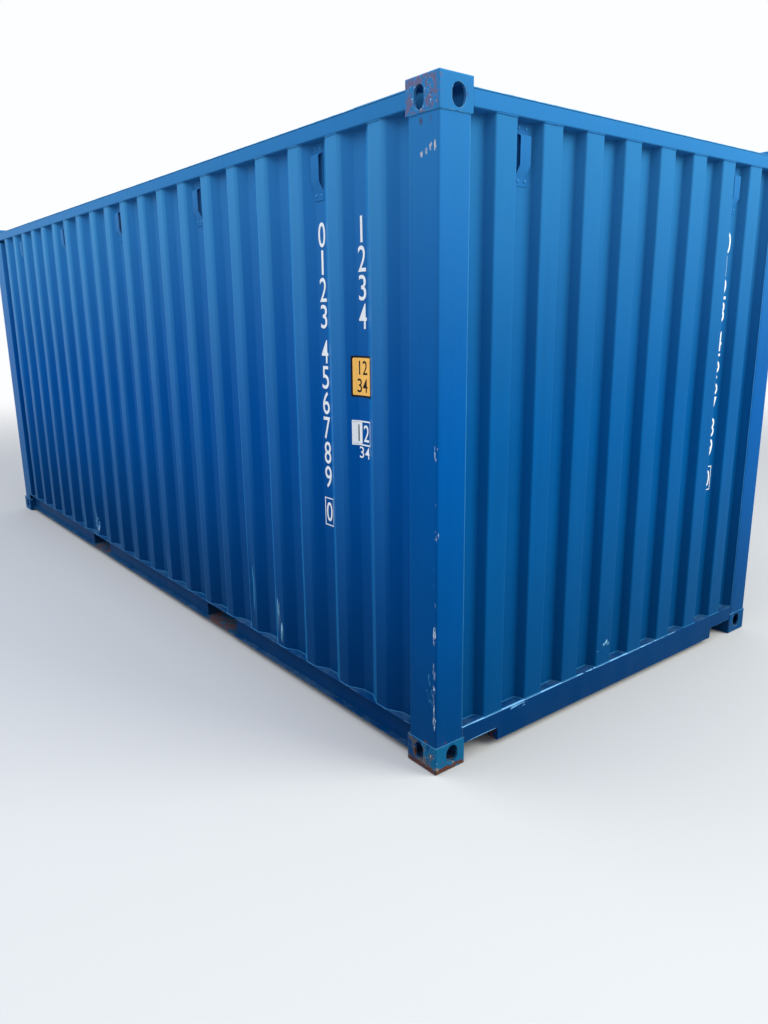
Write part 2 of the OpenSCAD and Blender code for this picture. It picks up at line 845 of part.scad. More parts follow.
// Every named piece, each alone or all together
corner(FRONT, RIGHT) casting();  // front_right_foot_casting
corner(FRONT, LEFT) casting();  // front_left_foot_casting
corner(REAR, RIGHT) casting();  // rear_right_foot_casting
corner(REAR, LEFT) casting();  // rear_left_foot_casting
upside_down() corner(FRONT, RIGHT) casting();  // front_right_top_casting
upside_down() corner(FRONT, LEFT) casting();  // front_left_top_casting
upside_down() corner(REAR, RIGHT) casting();  // rear_right_top_casting
upside_down() corner(REAR, LEFT) casting();  // rear_left_top_casting
corner(FRONT, RIGHT) front_post();  // front_right_post
corner(FRONT, LEFT) front_post();  // front_left_post
corner(REAR, RIGHT) rear_post();  // rear_right_post
corner(REAR, LEFT) rear_post();  // rear_left_post
side_top_rail();  // right_top_rail
mirror([0, 1, 0]) side_top_rail();  // left_top_rail
front_top_rail();
door_header();
side_bottom_rail();  // right_bottom_rail
mirror([0, 1, 0]) side_bottom_rail();  // left_bottom_rail
front_sill();
door_sill();
side_wall();  // right_side_wall
mirror([0, 1, 0]) side_wall();  // left_side_wall
front_wall();
roof_sheet();
roof_corner_plates();
front_cross_members();
middle_cross_members();
rear_cross_members();
fork_pocket(FRONT);  // front_fork_pocket
fork_pocket(REAR);  // rear_fork_pocket
floor_boards();
side_vents();  // right_side_vents
mirror([0, 1, 0]) side_vents();  // left_side_vents
front_vents();
door_frame(RIGHT);  // right_door_frame
door_frame(LEFT);  // left_door_frame
door_panel(RIGHT);  // right_door_panel
door_panel(LEFT);  // left_door_panel
door_seals();
door_hinges();
lock_rods();
rod_brackets();
cam_keepers();
door_handles();
handle_catches();
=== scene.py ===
import math

import bpy
from mathutils import Matrix, Vector, noise


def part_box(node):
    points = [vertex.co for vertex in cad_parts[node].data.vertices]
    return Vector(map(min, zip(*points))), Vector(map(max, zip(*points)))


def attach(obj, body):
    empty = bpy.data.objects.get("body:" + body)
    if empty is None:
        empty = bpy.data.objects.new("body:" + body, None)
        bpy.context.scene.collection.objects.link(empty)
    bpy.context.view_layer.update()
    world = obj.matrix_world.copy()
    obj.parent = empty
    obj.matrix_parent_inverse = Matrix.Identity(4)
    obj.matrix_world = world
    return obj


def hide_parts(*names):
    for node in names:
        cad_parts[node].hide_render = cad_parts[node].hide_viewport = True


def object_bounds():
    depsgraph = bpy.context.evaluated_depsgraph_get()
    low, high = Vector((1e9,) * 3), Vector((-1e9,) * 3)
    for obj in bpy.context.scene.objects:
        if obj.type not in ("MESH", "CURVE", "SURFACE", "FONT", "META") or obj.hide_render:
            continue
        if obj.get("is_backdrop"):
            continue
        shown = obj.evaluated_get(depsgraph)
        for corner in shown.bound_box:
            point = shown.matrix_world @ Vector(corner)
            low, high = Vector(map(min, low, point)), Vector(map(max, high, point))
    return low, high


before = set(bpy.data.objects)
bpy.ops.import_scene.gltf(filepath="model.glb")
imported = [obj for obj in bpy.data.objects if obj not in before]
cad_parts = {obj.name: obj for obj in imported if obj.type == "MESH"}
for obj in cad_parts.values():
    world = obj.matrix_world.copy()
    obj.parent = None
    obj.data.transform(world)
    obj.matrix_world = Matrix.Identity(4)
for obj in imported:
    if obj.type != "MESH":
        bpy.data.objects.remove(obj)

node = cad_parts
cad_low, cad_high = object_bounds()

# Corner castings: eight hollow blocks of cast steel, one at each corner of the frame.
# Each is poured in one piece with its slots, welded between the posts and the rails, and
# painted with them. Lifting gear and the ground wear its paint through to rust.
CASTINGS = [
    f"{end}_{side}_{level}_casting"
    for end in ("front", "rear") for side in ("right", "left") for level in ("foot", "top")
]
CAST_EDGE = 0.0015
CASTING_BLUE = (0.001, 0.076, 0.270, 1)
WORN_PAINT = (0.16, 0.30, 0.42, 1)
PRIMER = (0.42, 0.52, 0.60, 1)
RUST_DARK = (0.045, 0.020, 0.014, 1)
RUST_LIGHT = (0.17, 0.062, 0.034, 1)
STAIN = (0.060, 0.035, 0.045, 1)
DUST = (0.11, 0.21, 0.27, 1)
# Painted sky reflection: a lighter blue laid over the paint higher up and on the side walls' rib
# flats
SKY_GLEAM = (0.060, 0.285, 0.53, 1)
SHEEN_BLUE = (0.05, 0.48, 1.0, 1)

# Where the side walls' rib flats lie, out from the middle line
RIB_FLATS = (1.198, 1.206)


def feed(tree, target, sockets):
    """Gives the inputs of a node their values or links."""
    for key, value in sockets.items():
        if isinstance(value, bpy.types.NodeSocket):
            tree.links.new(value, target.inputs[key])
        else:
            target.inputs[key].default_value = value


def place(tree, kind, sockets=None, **settings):
    """A new shader node, with its settings and its inputs."""
    new = tree.nodes.new("ShaderNode" + kind)
    for key, value in settings.items():
        setattr(new, key, value)
    feed(tree, new, sockets or {})
    return new


def maths(tree, operation, a, b=0.0):
    return place(tree, "Math", {0: a, 1: b}, operation=operation).outputs[0]


def plus(tree, a, b):
    return maths(tree, "ADD", a, b)


def minus(tree, a, b):
    return maths(tree, "SUBTRACT", a, b)


def times(tree, a, b):
    return maths(tree, "MULTIPLY", a, b)


def vector(tree, operation, sockets):
    return place(tree, "VectorMath", sockets, operation=operation).outputs


def here(tree):
    """The point on the surface, in the object's own metres."""
    return place(tree, "TexCoord").outputs["Object"]


def blend(tree, mask, under, over):
    """One colour laid over another where the mask is 1."""
    new = place(tree, "Mix", {0: mask, 6: under, 7: over}, data_type="RGBA")
    return new.outputs[2]


def band(tree, value, start, end):
    """0 below start and 1 above end, with a smooth step between them."""
    sockets = {"Value": value, "From Min": start, "From Max": end}
    return place(tree, "MapRange", sockets, interpolation_type="SMOOTHSTEP").outputs[0]


def grain(tree, scale, detail=4.0, stretch=(1, 1, 1), rough=0.6):
    """Noise that is stretched along an axis where its stretch is small."""
    at = vector(tree, "MULTIPLY", {0: here(tree), 1: stretch})[0]
    sockets = {"Vector": at, "Scale": scale, "Detail": detail, "Roughness": rough}
    return place(tree, "TexNoise", sockets).outputs["Fac"]


def relief(tree, height):
    """The normal of a fine relief, from its height in metres."""
    return place(tree, "Bump", {"Height": height, "Strength": 1.0, "Distance": 1.0}).outputs[0]


def shader_group(name, inputs, outputs):
    """An empty node group, with what it is given and the node that takes what it puts out."""
    tree = bpy.data.node_groups.new(name, "ShaderNodeTree")
    for label, kind, value in inputs:
        kind = "NodeSocket" + kind
        tree.interface.new_socket(label, in_out="INPUT", socket_type=kind).default_value = value
    for label, kind in outputs:
        tree.interface.new_socket(label, in_out="OUTPUT", socket_type="NodeSocket" + kind)
    given = tree.nodes.new("NodeGroupInput").outputs
    return tree, given, tree.nodes.new("NodeGroupOutput")


def use(tree, group, sockets):
    """What a node group puts out in a material, with that material's own values."""
    return place(tree, "Group", sockets, node_tree=group).outputs


def build_paint_tone():
    """Weathered paint: wide patches and runs down the steel, painted shade that darkens it
    towards the foot, and a painted sky reflection that lightens it with height and on the
    flats of the side walls' ribs."""
    tree, given, out = shader_group(
        "paint_tone",
        [
            ("Paint", "Color", (0, 0, 0, 1)), ("Patches", "Float", 0.2), ("Runs", "Float", 0.2),
            ("Foot shade", "Float", 0.0), ("Fade", "Float", 0.0), ("Ribs", "Float", 0.0),
        ],
        [("Color", "Color"), ("Roughness", "Float")],
    )
    patch = minus(tree, grain(tree, 1.6, 5.0), 0.5)
    run = minus(tree, grain(tree, 1.0, 3.0, (30, 30, 0.8)), 0.5)
    change = plus(tree, times(tree, patch, given["Patches"]), times(tree, run, given["Runs"]))
    at = place(tree, "SeparateXYZ", {0: here(tree)}).outputs
    # Painted shade: the paint grows darker towards the foot, for the shade near the ground
    foot = minus(tree, 1.0, band(tree, at["Z"], -0.2, 1.5))
    foot_lit = minus(tree, 1.0, times(tree, foot, given["Foot shade"]))
    tone = times(tree, plus(tree, change, 1.0), foot_lit)
    colour = vector(tree, "SCALE", {0: given["Paint"], 3: tone})[0]
    # Painted reflection: lighter with height, and lighter on the proud flats of the side walls'
    # ribs
    gleam_mask = times(tree, band(tree, at["Z"], 1.2, 3.0), given["Fade"])
    proud = band(tree, maths(tree, "ABSOLUTE", at["Y"]), *RIB_FLATS)
    proud = times(tree, proud, band(tree, at["Z"], 0.2, 2.3))
    gleam_mask = plus(tree, gleam_mask, times(tree, proud, given["Ribs"]))
    feed(tree, out, {
        "Color": blend(tree, gleam_mask, colour, SKY_GLEAM), "Roughness": times(tree, change, 0.5),
    })
    return tree


def build_edge_wear():
    """Where an outer edge has lost its paint, in broken lengths."""
    tree, given, out = shader_group(
        "edge_wear",
        [("Width", "Float", 0.003), ("Amount", "Float", 0.4), ("Grain", "Float", 30.0)],
        [("Mask", "Float")],
    )
    eased = place(tree, "Bevel", {"Radius": given["Width"]}, samples=4).outputs[0]
    true = place(tree, "NewGeometry").outputs["Normal"]
    same = vector(tree, "DOT_PRODUCT", {0: eased, 1: true})["Value"]
    edge = band(tree, minus(tree, 1.0, same), 0.01, 0.12)
    chance = times(tree, edge, grain(tree, given["Grain"], 6.0))
    start = minus(tree, 0.8, times(tree, given["Amount"], 0.6))
    feed(tree, out, {"Mask": band(tree, chance, start, plus(tree, start, 0.06))})
    return tree


def build_worn_place():
    """Marks inside one place of the given half size, in grains that may run along an axis."""
    tree, given, out = shader_group(
        "worn_place",
        [
            ("Centre", "Vector", (0, 0, 0)), ("Half size", "Vector", (1, 1, 1)),
            ("Stretch", "Vector", (1, 1, 1)), ("Grain", "Float", 20.0), ("Amount", "Float", 0.5),
        ],
        [("Mask", "Float")],
    )
    away = vector(tree, "SUBTRACT", {0: here(tree), 1: given["Centre"]})[0]
    away = vector(tree, "DIVIDE", {0: away, 1: given["Half size"]})[0]
    far = vector(tree, "LENGTH", {0: away})["Value"]
    near = minus(tree, 1.0, band(tree, far, 0.45, 1.0))
    speck = grain(tree, given["Grain"], 6.0, given["Stretch"], 0.65)
    chance = plus(tree, speck, times(tree, near, given["Amount"]))
    feed(tree, out, {"Mask": band(tree, chance, 1.0, 1.05)})
    return tree


def build_rust():
    """Rust in spots and fields, with the stain round it, its colour and its height in metres."""
    tree, given, out = shader_group(
        "rust",
        [("Amount", "Float", 0.3), ("Grain", "Float", 9.0)],
        [("Mask", "Float"), ("Stain", "Float"), ("Color", "Color"), ("Height", "Float")],
    )
    field = grain(tree, given["Grain"], 8.0, rough=0.7)
    start = minus(tree, 0.82, times(tree, given["Amount"], 0.5))
    crumb = grain(tree, 140.0, 5.0, rough=0.7)
    feed(tree, out, {
        "Mask": band(tree, field, start, plus(tree, start, 0.05)),
        "Stain": band(tree, field, minus(tree, start, 0.09), start),
        "Color": blend(tree, band(tree, crumb, 0.35, 0.7), RUST_DARK, RUST_LIGHT),
        "Height": times(tree, crumb, 0.0012),
    })
    return tree


def build_dust():
    """Splashed dirt that thins out above the ground, and dust on what faces up."""
    tree, given, out = shader_group(
        "dust",
        [("Splash height", "Float", 0.5), ("Amount", "Float", 0.4)],
        [("Mask", "Float")],
    )
    height = place(tree, "SeparateXYZ", {0: here(tree)}).outputs["Z"]
    splash = minus(tree, 1.0, band(tree, height, 0.0, given["Splash height"]))
    normal = place(tree, "NewGeometry").outputs["Normal"]
    upward = band(tree, place(tree, "SeparateXYZ", {0: normal}).outputs["Z"], 0.4, 0.95)
    cover = maths(tree, "MAXIMUM", times(tree, splash, 0.15), upward)
    broken = band(tree, grain(tree, 7.0, 8.0, (1, 1, 0.4), 0.7), 0.35, 0.75)
    feed(tree, out, {"Mask": times(tree, times(tree, cover, broken), given["Amount"])})
    return tree


def build_paint_skin():
    """The fine orange peel of sprayed paint over the slow waves of rolled steel, in metres."""
    tree, given, out = shader_group(
        "paint_skin",
        [("Peel", "Float", 0.00002), ("Waves", "Float", 0.0003)],
        [("Height", "Float")],
    )
    peel = times(tree, grain(tree, 420.0, 2.0), given["Peel"])
    waves = times(tree, grain(tree, 5.0, 2.0, (1, 1, 0.5)), given["Waves"])
    feed(tree, out, {"Height": plus(tree, peel, waves)})
    return tree


PAINT_TONE = build_paint_tone()
EDGE_WEAR = build_edge_wear()
WORN_PLACE = build_worn_place()
RUST = build_rust()
DUST_COVER = build_dust()
PAINT_SKIN = build_paint_skin()


def blank_finish(name):
    """A new material, with its node tree and its shader."""
    material = bpy.data.materials.new(name)
    material.use_nodes = True
    tree = material.node_tree
    return material, tree, tree.nodes["Principled BSDF"]


def steel_paint(
    name, paint, gloss=0.34, worn=0.35, rust=0.2, rust_grain=9.0, dust=0.35, foot_shade=0.5, ribs=0.0,
    places=(),
):
    """Sprayed paint on steel, with its worn edges, rust, dust and the marks of single places,
    some of them painted highlights, over a tone with painted shade towards the foot and a
    painted sky reflection higher up.
    """
    material, tree, shader = blank_finish(name)
    # The tone darkens towards the foot as painted shade, and lightens higher up and on the rib
    # flats as a painted sky reflection
    tone = use(tree, PAINT_TONE, {
        "Paint": paint, "Patches": 0.30, "Runs": 0.22, "Foot shade": foot_shade, "Fade": 0.45, "Ribs": ribs,
    })
    dusty = use(tree, DUST_COVER, {"Splash height": 0.3, "Amount": dust})["Mask"]
    edge = use(tree, EDGE_WEAR, {"Width": 0.004, "Amount": worn, "Grain": 26.0})["Mask"]
    rusty = use(tree, RUST, {"Amount": rust, "Grain": rust_grain})
    colour = blend(tree, dusty, tone["Color"], DUST)
    colour = blend(tree, times(tree, rusty["Stain"], 0.35), colour, STAIN)
    colour = blend(tree, edge, colour, WORN_PAINT)
    bare = rusty["Mask"]
    for centre, half_size, stretch, coarse, amount, over in places:
        spot = use(tree, WORN_PLACE, {
            "Centre": centre, "Half size": half_size, "Stretch": stretch, "Grain": coarse,
            "Amount": amount,
        })["Mask"]
        if over is None:
            bare = maths(tree, "MAXIMUM", bare, spot)
        else:
            colour = blend(tree, times(tree, spot, over[3]), colour, over)
    rough = plus(tree, plus(tree, tone["Roughness"], gloss), times(tree, dusty, 0.35))
    skin = use(tree, PAINT_SKIN, {"Peel": 0.00002, "Waves": 0.0003})["Height"]
    feed(tree, shader, {
        "Base Color": blend(tree, bare, colour, rusty["Color"]),
        "Roughness": maths(tree, "MAXIMUM", rough, times(tree, bare, 0.85)),
        "Normal": relief(tree, plus(tree, skin, times(tree, rusty["Height"], bare))),
        "Specular IOR Level": 0.015,
        "Sheen Weight": 0.36, "Sheen Roughness": 0.35, "Sheen Tint": SHEEN_BLUE,
    })
    return material


def dress(piece, material):
    """Gives a piece one finish all over."""
    piece.data.materials.clear()
    piece.data.materials.append(material)
    return piece


def ease_edges(piece, radius):
    """Rounds the sharp edges of a CAD node as grinding and paint do."""
    weld = piece.modifiers.new("weld", "WELD")
    weld.merge_threshold = 0.00002
    flats = piece.modifiers.new("flats", "DECIMATE")
    flats.decimate_type = "DISSOLVE"
    flats.angle_limit = math.radians(0.5)
    round_off = piece.modifiers.new("round_off", "BEVEL")
    round_off.width = radius
    round_off.segments = 2
    round_off.limit_method = "ANGLE"
    round_off.angle_limit = math.radians(40)
    round_off.use_clamp_overlap = True
    piece.modifiers.new("normals", "WEIGHTED_NORMAL")
    return piece


def dress_nodes(names, radius, material):
    """Eases the edges of some CAD nodes and gives them one finish."""
    for name in names:
        dress(ease_edges(node[name], radius), material)


# A mark is its centre, half size, stretch, grain and amount, and then its colour with its
# strength as the last value, or None where it is rust
THIN_RUST = (0.16, 0.085, 0.11, 0.65)
OLD_RUST = (0.10, 0.075, 0.05, 0.75)
TAN = (0.24, 0.19, 0.13, 0.8)
GREEN_BLUE = (0.006, 0.115, 0.245, 0.75)
TOP_STAIN = ((2.92, -1.219, 2.54), (0.20, 0.05, 0.16), (1, 1, 0.8), 45.0, 0.52, THIN_RUST)
TOP_RUST = ((2.93, -1.219, 2.54), (0.15, 0.05, 0.12), (1, 1, 1), 75.0, 0.36, None)
TOP_CHIPS = ((2.95, -1.219, 2.54), (0.16, 0.03, 0.12), (1, 1, 0.5), 110.0, 0.40, PRIMER)
FOOT_TINT = ((2.99, -1.13, 0.07), (0.10, 0.30, 0.20), (1, 1, 0.5), 14.0, 0.60, GREEN_BLUE)
FOOT_STAIN = ((2.90, -1.219, 0.05), (0.20, 0.05, 0.15), (1, 1, 0.5), 42.0, 0.52, OLD_RUST)
FOOT_TAN = ((2.98, -1.17, 0.022), (0.13, 0.16, 0.045), (1, 1, 0.6), 60.0, 0.46, TAN)
FOOT_RUST = ((2.96, -1.15, 0.0), (0.34, 0.34, 0.045), (1, 1, 1), 34.0, 0.62, None)
FOOT_RUST_HOLE = ((2.935, -1.219, 0.050), (0.080, 0.02, 0.070), (1, 1, 0.5), 40.0, 0.52, None)
FOOT_CHIPS = ((2.97, -1.22, 0.08), (0.14, 0.06, 0.09), (1, 1, 0.5), 120.0, 0.40, PRIMER)
casting_paint = steel_paint(
    "casting_paint", CASTING_BLUE, gloss=0.42, worn=0.55, rust=0.32, rust_grain=14.0, dust=0.5,
    places=[
        TOP_STAIN, TOP_RUST, TOP_CHIPS,
        FOOT_TINT, FOOT_STAIN, FOOT_TAN, FOOT_RUST, FOOT_RUST_HOLE, FOOT_CHIPS,
    ],
)
dress_nodes(CASTINGS, CAST_EDGE, casting_paint)


# Base frame: folded channels along both sides and ends, joined by channels across them.
# The steel is cut, pressed and welded to the castings, then primed and sprayed. Each side
# rail is cut away at the fork pockets, where a flat strap closes the mouth below.
CONTAINER_BLUE = (0.000, 0.069, 0.285, 1)
FRAME_BLUE = (0.000, 0.075, 0.287, 1)
# Painted light: a lighter, greener copy of the wall blue for the front wall, for the brighter and
# warmer light on that side
FRONT_LIT_BLUE = (0.001, 0.078, 0.255, 1)
UNDERFRAME_BLUE = (0.003, 0.050, 0.160, 1)
# A lighter blue laid on as painted highlights, where light catches an edge or a dent
PAINTED_HIGHLIGHT = (0.14, 0.36, 0.62, 1)
PLATE_EDGE = 0.0012
CHANNEL_EDGE = 0.001
sill_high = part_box("front_sill")[1]
NOTCH_TOP = 0.088
NOTCH_Y = -0.957
POCKET_X = 1.025
POCKET_SHIFT = 0.060
STRAP_Y = 1.10


def sill_highlight(y, half_y, z, amount):
    """A painted highlight: the bright line where light catches an edge of the front sill."""
    return ((sill_high.x, y, z), (0.010, half_y, 0.006), (1, 0.3, 1), 40.0, amount, PAINTED_HIGHLIGHT)


def notch_rust(y):
    """Rust inside the near notch of the front sill."""
    return ((sill_high.x - 0.03, y, 0.06), (0.05, 0.05, 0.06), (1, 1, 1), 30.0, 0.55, None)


base_paint = steel_paint(
    "base_paint", CONTAINER_BLUE, gloss=0.32, worn=0.45, rust=0.12, dust=0.30, foot_shade=0.66,
    places=[
        # Painted highlights along the sill's top edge, the notch's top edge and the sill's face
        sill_highlight(-0.72, 0.62, sill_high.z, 0.9),
        sill_highlight(-0.10, 1.20, sill_high.z, 0.62),
        sill_highlight(NOTCH_Y, 0.13, NOTCH_TOP, 0.9),
        notch_rust(NOTCH_Y - 0.10),
        notch_rust(NOTCH_Y + 0.10),
        ((sill_high.x, -0.72, 0.15), (0.02, 0.12, 0.03), (1, 0.4, 2), 30.0, 0.45, PAINTED_HIGHLIGHT),
    ],
)
RAILS = ["right_bottom_rail", "left_bottom_rail", "front_sill", "door_sill"]
dress_nodes(RAILS, PLATE_EDGE, base_paint)

underframe_paint = steel_paint(
    "underframe_paint", UNDERFRAME_BLUE, gloss=0.55, worn=0.3, rust=0.38, rust_grain=5.0, dust=0.6
)
CROSS_MEMBERS = [f"{part}_cross_members" for part in ("front", "middle", "rear")]
dress_nodes(CROSS_MEMBERS, CHANNEL_EDGE, underframe_paint)

# The pockets' solids share edges where their plates meet, so theirs aren't eased
strap_rust = [
    ((x, y, 0.034), (0.34, 0.22, 0.03), (1, 1, 1), 14.0, 0.56, None)
    for x in (POCKET_SHIFT - POCKET_X, POCKET_SHIFT + POCKET_X) for y in (-STRAP_Y, STRAP_Y)
]
pocket_paint = steel_paint(
    "pocket_paint", UNDERFRAME_BLUE, gloss=0.55, worn=0.5, rust=0.36, rust_grain=10.0, dust=0.5,
    places=strap_rust,
)
for name in ("front_fork_pocket", "rear_fork_pocket"):
    dress(node[name], pocket_paint)


# Floor boards: plywood panels laid on the cross members and screwed down from above.
# Seen from below only, between the cross members, as bare veneer gone grey with dirt.
PLY_DARK = (0.13, 0.075, 0.038, 1)
PLY_LIGHT = (0.33, 0.21, 0.115, 1)
PLY_GRIME = (0.06, 0.06, 0.06, 1)
BOARD_JOINT = (0.01, 0.01, 0.01, 1)
BOARD_WIDTH = 1.17
BOARD_GAP = 0.004
BOARD_EDGE = 0.0015

plywood, tree, shader = blank_finish("plywood")
fibre = grain(tree, 9.0, 8.0, (0.25, 3.0, 1.0), 0.7)
colour = blend(tree, band(tree, fibre, 0.3, 0.75), PLY_DARK, PLY_LIGHT)
across = place(tree, "SeparateXYZ", {0: here(tree)}).outputs["Y"]
joint = maths(tree, "LESS_THAN", maths(tree, "PINGPONG", across, BOARD_WIDTH / 2), BOARD_GAP / 2)
colour = blend(tree, joint, colour, BOARD_JOINT)
dirt = times(tree, band(tree, grain(tree, 2.5, 6.0), 0.4, 0.8), 0.5)
feed(tree, shader, {
    "Base Color": blend(tree, dirt, colour, PLY_GRIME), "Roughness": 0.8,
    "Normal": relief(tree, times(tree, fibre, 0.0006)),
})
dress_nodes(["floor_boards"], BOARD_EDGE, plywood)


# Posts, top rails and door header: 6 mm plate pressed into angles for the front posts,
# an angle backed by a thick channel for the rear posts, and square tube for the rails.
# All are welded to the castings, and the near post carries the chips of years of handling.
POST_EDGE = Vector((3.024, -1.214, 0))
SMEAR = (0.035, 0.17, 0.30, 1)
SCUFF = (0.52, 0.48, 0.42, 0.75)


def post_chips(z, half_z, in_x, amount, coarse):
    """Paint knocked off the near front post, down beside its outer corner."""
    at = (POST_EDGE.x - in_x, POST_EDGE.y, z)
    return (at, (0.012, 0.016, half_z), (1, 1, 0.16), coarse, amount, PRIMER)


post_places = [
    ((2.995, -1.214, 0.37), (0.045, 0.016, 0.17), (1, 1, 0.3), 60.0, 0.43, SMEAR),
    post_chips(0.90, 0.80, 0.010, 0.36, 150.0),
    post_chips(0.40, 0.24, 0.012, 0.46, 190.0),
    post_chips(0.60, 0.07, 0.011, 0.53, 190.0),
    post_chips(1.33, 0.07, 0.008, 0.50, 110.0),
    post_chips(1.00, 0.05, 0.000, 0.46, 130.0),
    post_chips(0.25, 0.09, 0.010, 0.52, 200.0),
    ((2.96, -1.215, 2.43), (0.10, 0.03, 0.06), (1, 1, 0.2), 60.0, 0.42, STAIN),
    ((3.0, -1.20, 0.125), (0.10, 0.12, 0.02), (1, 1, 1), 40.0, 0.46, None),
]
for x, z, half_x, half_z in (
    (2.938, 2.346, 0.014, 0.022), (2.962, 2.354, 0.009, 0.030),
    (2.984, 2.362, 0.012, 0.024), (3.007, 2.362, 0.014, 0.034),
):
    size = (half_x, 0.02, half_z)
    post_places.append(((x, -1.215, z), size, (1, 1, 0.35), 130.0, 0.53, SCUFF))
post_paint = steel_paint(
    "post_paint", FRAME_BLUE, gloss=0.30, worn=0.38, rust=0.08, dust=0.35, places=post_places
)
POSTS = ["front_right_post", "front_left_post", "rear_right_post", "rear_left_post"]
TOP_RAILS = ["right_top_rail", "left_top_rail", "front_top_rail", "door_header"]
dress_nodes(POSTS + TOP_RAILS, PLATE_EDGE, post_paint)


# Side walls: 2 mm sheet pressed into upright ribs, and welded all round between the posts
# and the rails. Rolling, pressing and welding leave the flats a little out of true, and
# knocks near the foot of the wall leave dents, a crease and scratches.
X, Y, Z = Vector((1, 0, 0)), Vector((0, 1, 0)), Vector((0, 0, 1))
SHEET = 0.002
SIDE_PITCH, SIDE_FLAT, SIDE_SLOPE = 0.278, 0.072, 0.068
SIDE_SHIFT = 0.030
RIB_CLEARANCE = 0.020
BEND_CUT = 0.007
BEND_STEPS = 3
GRID_STEP = 0.040
SIDE_SLACK = 0.0030
SLACK_RIM = 0.12


def rib_line(run, middle, pitch, flat, slope, depth):
    """The outer skin line of the ribs that fit in a run of wall, with their flats at depth 0."""
    count = math.floor((run - flat - 2 * slope - RIB_CLEARANCE) / pitch) + 1
    line = []
    for i in range(count):
        centre = middle + (i - (count - 1) / 2) * pitch
        line += [(centre - flat / 2 - slope, depth), (centre - flat / 2, 0.0)]
        line += [(centre + flat / 2, 0.0), (centre + flat / 2 + slope, depth)]
    return line


def rib_skin(half, pitch, flat, slope, depth):
    """A skin line that rises to its outer plane again at both ends."""
    line = rib_line(2 * (half - slope), 0.0, pitch, flat, slope, depth)
    return [(-half, 0.0), (-half + slope, depth)] + line + [(half - slope, depth), (half, 0.0)]


def round_bends(line, cut, steps):
    """The same line with a round bend at each corner, and its flats cut into short lengths."""
    points = [Vector(p) for p in line]
    out = [points[0]]
    for before, corner, after in zip(points, points[1:], points[2:]):
        start = corner + (before - corner).normalized() * cut
        end = corner + (after - corner).normalized() * cut
        for i in range(steps + 1):
            t = i / steps
            out.append(start * (1 - t) ** 2 + corner * (2 * t * (1 - t)) + end * t * t)
    out.append(points[-1])
    fine = [out[0]]
    for a, b in zip(out, out[1:]):
        pieces = max(1, math.ceil((b - a).length / GRID_STEP))
        fine += [a.lerp(b, i / pieces) for i in range(1, pieces + 1)]
    return fine


def spread(start, end, step):
    """Even steps from start to end, both kept."""
    count = max(1, math.ceil((end - start) / step))
    return [start + (end - start) * i / count for i in range(count + 1)]


def slack(seed, amount, along, rows):
    """The slow waves of a thin sheet, which die out along its welded edges."""
    def push(a, r):
        rim = min(a - along[0], along[1] - a, r - rows[0], rows[1] - r) / SLACK_RIM
        rim = max(0.0, min(1.0, rim))
        long_wave = noise.noise(Vector((a * 2.6, r * 1.1, seed)))
        short_wave = noise.noise(Vector((a * 7.0, r * 5.0, seed + 40)))
        return amount * rim * (long_wave + 0.35 * short_wave)
    return push


def in_scene(name, data):
    """A new object that stands in the scene."""
    new = bpy.data.objects.new(name, data)
    bpy.context.scene.collection.objects.link(new)
    return new


def ride_along(name, mesh, material):
    """A piece of the container from a mesh, in one finish."""
    piece = in_scene(name, mesh)
    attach(piece, "root")
    return dress(piece, material)


def new_piece(name, vertices, faces, material):
    """A piece of the container from points and faces."""
    mesh = bpy.data.meshes.new(name)
    mesh.from_pydata(vertices, [], faces)
    mesh.shade_smooth()
    return ride_along(name, mesh, material)


def grid_faces(rows, wide, keep=lambda r, i: True):
    """Four-sided faces between the points of a grid that is given row by row."""
    return [
        (r * wide + i, r * wide + i + 1, (r + 1) * wide + i + 1, (r + 1) * wide + i)
        for r in range(rows - 1) for i in range(wide - 1) if keep(r, i)
    ]


def facing_out(faces, axes):
    """The same faces, turned over where these axes would make them face inward."""
    along, inward, over = axes
    return [face[::-1] for face in faces] if along.cross(over).dot(inward) > 0 else faces


def thicken(piece, thickness):
    """Gives an open skin its thickness, with sharp rims."""
    thick = piece.modifiers.new("sheet", "SOLIDIFY")
    thick.thickness = thickness
    thick.offset = -1.0
    rims = piece.modifiers.new("rims", "EDGE_SPLIT")
    rims.split_angle = math.radians(60)
    piece.modifiers.new("normals", "WEIGHTED_NORMAL")
    return piece


def pressed_sheet(name, line, rows, origin, axes, push, material):
    """A folded sheet: the line runs along axes[0] with its depth along axes[1], and each row
    is a copy of it along axes[2]."""
    along, inward, over = axes
    vertices = [
        origin + along * p[0] + inward * (p[1] + push(p[0], row)) + over * row
        for row in rows for p in line
    ]
    faces = facing_out(grid_faces(len(rows), len(line)), axes)
    return thicken(new_piece(name, vertices, faces, material), SHEET)


wall_low, wall_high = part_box("right_side_wall")
wall_depth = wall_high.y - wall_low.y - SHEET
run = wall_high.x - wall_low.x
side_skin = [(wall_low.x, wall_depth)]
side_skin += rib_line(run, SIDE_SHIFT, SIDE_PITCH, SIDE_FLAT, SIDE_SLOPE, wall_depth)
side_skin += [(wall_high.x, wall_depth)]
side_line = round_bends(side_skin, BEND_CUT, BEND_STEPS)
side_rows = spread(wall_low.z, wall_high.z, GRID_STEP)
side_ends = (wall_low.x, wall_high.x), (wall_low.z, wall_high.z)
RIGHT_FACE, RIGHT_AXES = Vector((0, wall_low.y, 0)), (X, Y, Z)
LEFT_FACE, LEFT_AXES = Vector((0, -wall_low.y, 0)), (X, -Y, Z)

